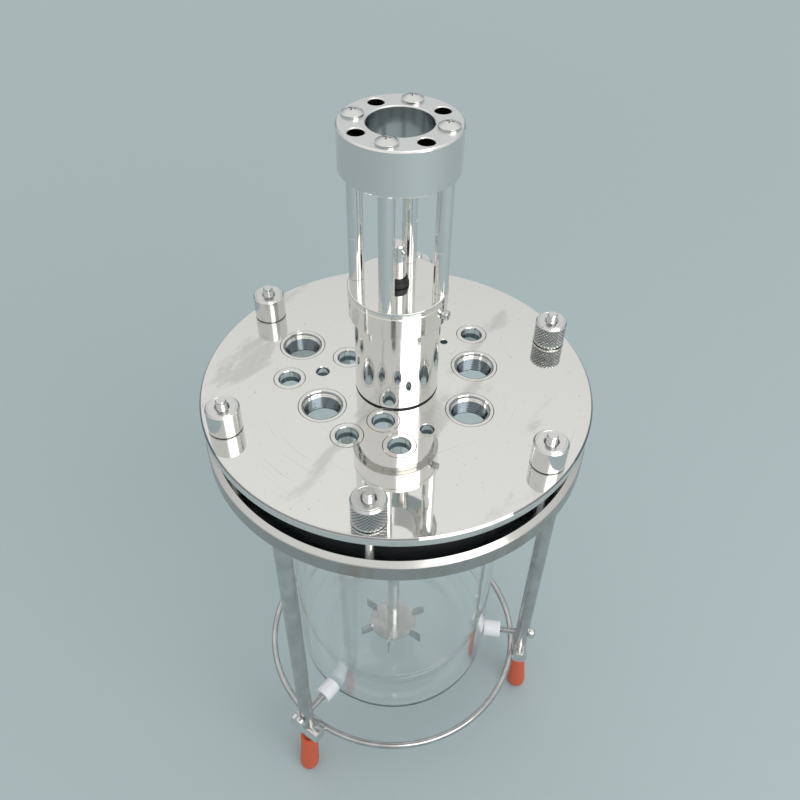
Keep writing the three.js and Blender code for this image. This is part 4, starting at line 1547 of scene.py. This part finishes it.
class BIOREACTOR_OT_hoop(bpy.types.Operator):
    """Wire hoop that steadies the legs"""

    bl_idname = "bioreactor.hoop"
    bl_label = "Hoop"

    def execute(self, context):
        sizes = context.scene.bioreactor_legs
        mesh = grown(
            bpy.data.meshes.new("hoop"), round_wire, drawn_steel,
            Radius=sizes.hoop, Wire=sizes.wire, Height=middle_of("stabiliser_ring").z,
        )
        settle("hoop", outward(mesh), STAND, drawn_steel, "turned_steel", "stabiliser_ring")
        return {"FINISHED"}


def outward(mesh):
    """A closed mesh with its faces turned outwards."""
    form = bmesh.new()
    form.from_mesh(mesh)
    bmesh.ops.recalc_face_normals(form, faces=form.faces)
    form.to_mesh(mesh)
    form.free()
    return mesh


class BIOREACTOR_OT_adjusters(bpy.types.Operator):
    """Three adjusting screws with soft tips"""

    bl_idname = "bioreactor.adjusters"
    bl_label = "Adjusters"

    def execute(self, context):
        sizes = context.scene.bioreactor_legs
        height = middle_of("adjuster_screw_1").z
        for number in (1, 2, 3):
            body = f"adjuster_{number}"
            screw, tip = f"adjuster_screw_{number}", f"adjuster_tip_{number}"
            place = turned_to(bearing_of(screw)) @ laid_along_x(height)
            mesh = adjusting_screw(sizes)
            mesh.transform(place)
            settle(f"adjusting_screw_{number}", mesh, body, turned_steel, "turned_steel", screw)
            mesh = soft_tip(sizes)
            mesh.transform(place)
            settle(f"soft_tip_{number}", mesh, body, white_polymer, "white_polymer", tip)
        return {"FINISHED"}


def adjusting_screw(sizes):
    """One screw, drawn upright with its height as the distance from the axis."""
    start, knob_start, half = sizes.screw_start, sizes.knob_start, sizes.knob_length / 2
    outline = [
        (0, start),
        *straight(sizes.adjuster, start, knob_start, 200),
        (sizes.knob - 0.3 * MM, knob_start),
        (sizes.knob, knob_start + 0.3 * MM),
        *oval_corner(0, knob_start + half, sizes.knob, half, 0, 90, 8),
    ]
    mesh = to_mesh(turned(outline, SMALL_SIDES), "adjusting screw")
    return smoothed(grown(
        mesh, cut_pattern, Pitch=sizes.adjuster_pitch, Depth=0.5 * sizes.adjuster_pitch,
        From=start, To=knob_start - 0.4 * MM, Least=0.5 * sizes.adjuster,
    ))


def soft_tip(sizes):
    """One tip, drawn upright with its height as the distance from the axis."""
    start, stop = sizes.tip_start, sizes.tip_start + sizes.tip_length
    outline = eased([
        (0, start),
        (sizes.tip, start, 0.9 * MM),
        (sizes.tip, stop, 0.9 * MM),
        (sizes.adjuster + 0.3 * MM, stop, 0.2 * MM),
        (sizes.adjuster + 0.3 * MM, stop - 3 * MM),
        (0, stop - 3 * MM),
    ])
    return to_mesh(turned(outline, SMALL_SIDES), "soft tip")


# ---------- Frame nodes that stay as they are ----------

class BIOREACTOR_OT_frame_finishes(bpy.types.Operator):
    """Finishes for the frame's own nodes that stay in view"""

    bl_idname = "bioreactor.frame_finishes"
    bl_label = "Frame finishes"

    def execute(self, context):
        finishes = {
            "column_lock_nut": turned_steel,
            "lower_bearing_outer_race": turned_steel,
            "lower_bearing_inner_race": turned_steel,
            "upper_bearing_outer_race": turned_steel,
            "upper_bearing_inner_race": turned_steel,
            "hub_set_screw": turned_steel,
            "lip_seal": black_rubber,
        }
        for node, build in finishes.items():
            for slot in frame["nodes"][node].material_slots:
                slot.link = "OBJECT"
                slot.material = finish_once(build)
        return {"FINISHED"}


# ---------- Stage ----------

def floor_finish(name):
    """Plain pale paper, a little paler far off."""
    finish = Finish(name)
    cloud = finish.noise(finish.place, 3.0, 3.0)
    far = finish.radius_and_height()[0].fade(0.3, 2.0)
    finish.set(Base_Color=finish.mix(far, colours().floor, colours().floor_far))
    finish.set(Roughness=0.85 + 0.05 * cloud)
    return finish.material


def surroundings():
    """A plain soft studio, bright overhead and dimmer round about, the same for light, view and mirror."""
    world = bpy.data.worlds.new("room")
    world.use_nodes = True
    tree = NodeTree(world.node_tree)
    upward = tree.split(tree.node("ShaderNodeTexCoord").signal("Generated"))[2]
    shade = tree.mix(upward.fade(0.0, 0.9), colours().room_wall, colours().room_ceiling)
    tree.feed(world.node_tree.nodes["Background"].inputs["Color"], shade)
    bpy.context.scene.world = world


def soft_lamp(name, place, size, power, tint):
    """A square soft light that looks at the object."""
    lamp = bpy.data.lights.new(name, "AREA")
    lamp.shape = "SQUARE"
    lamp.size = size
    lamp.energy = power
    lamp.color = tint
    fitting = linked(name, lamp)
    fitting.location = place
    aim = Vector((0, 0, 0.25)) - Vector(place)
    fitting.rotation_euler = aim.to_track_quat("-Z", "Y").to_euler()


class BIOREACTOR_OT_stage(bpy.types.Operator):
    """Floor, room, lights and camera"""

    bl_idname = "bioreactor.stage"
    bl_label = "Stage"

    def execute(self, context):
        sizes = context.scene.bioreactor_stage
        level, sweep = 0.9 * sizes.floor_radius, 0.3 * sizes.floor_radius
        outline = [(0, 0), (level, 0), *round_corner(level, sweep, sweep, -90, 0)[1:]]
        floor = linked("floor", to_mesh(turned(outline, ROUND_SIDES), "floor"))
        floor.data.flip_normals()
        floor.data.materials.append(finish_once(floor_finish))
        surroundings()
        soft_lamp("window", place=(1.086, -0.306, 1.25), size=1.1, power=9.0, tint=(1.0, 0.99, 0.97))
        self.camera(context, sizes)
        context.scene.view_settings.view_transform = "Standard"
        return {"FINISHED"}

    def camera(self, context, sizes):
        """The camera at its viewing angle."""
        lens = bpy.data.cameras.new("camera")
        lens.lens = sizes.lens
        lens.sensor_width = sizes.sensor
        camera = linked("camera", lens)
        place = Matrix.Translation((*polar(sizes.distance, sizes.bearing), sizes.height))
        facing = Matrix.Rotation(sizes.bearing + math.pi / 2 - sizes.yaw, 4, "Z")
        tilt = Matrix.Rotation(math.pi / 2 - sizes.pitch, 4, "X")
        camera.matrix_world = place @ facing @ tilt @ Matrix.Rotation(sizes.roll, 4, "Z")
        context.scene.camera = camera


# ---------- Panel, registration and run ----------

OPERATORS = (
    BIOREACTOR_OT_clamp_ring,
    BIOREACTOR_OT_gasket,
    BIOREACTOR_OT_lid,
    BIOREACTOR_OT_closures,
    BIOREACTOR_OT_vessel,
    BIOREACTOR_OT_column,
    BIOREACTOR_OT_motor_frame,
    BIOREACTOR_OT_agitator,
    BIOREACTOR_OT_legs,
    BIOREACTOR_OT_hoop,
    BIOREACTOR_OT_adjusters,
    BIOREACTOR_OT_frame_finishes,
    BIOREACTOR_OT_stage,
)


class BIOREACTOR_PT_panel(bpy.types.Panel):
    """Lists the pieces of the bioreactor"""

    bl_label = "Bioreactor"
    bl_idname = "BIOREACTOR_PT_panel"
    bl_space_type = "VIEW_3D"
    bl_region_type = "UI"
    bl_category = "Bioreactor"

    def draw(self, context):
        for operator in OPERATORS:
            self.layout.operator(operator.bl_idname)


CLASSES = (*GROUPS.values(), *OPERATORS, BIOREACTOR_PT_panel)


def register():
    """Registers the classes and hangs the sizes on the scene."""
    for item in CLASSES:
        bpy.utils.register_class(item)
    for name, group in GROUPS.items():
        setattr(bpy.types.Scene, name, bpy.props.PointerProperty(type=group))


def unregister():
    """Takes the sizes and classes away again."""
    for name in GROUPS:
        delattr(bpy.types.Scene, name)
    for item in reversed(CLASSES):
        bpy.utils.unregister_class(item)


def main():
    """Makes every piece in order."""
    register()
    for operator in OPERATORS:
        group, name = operator.bl_idname.split(".")
        getattr(getattr(bpy.ops, group), name)()


if __name__ == "__main__":
    main()
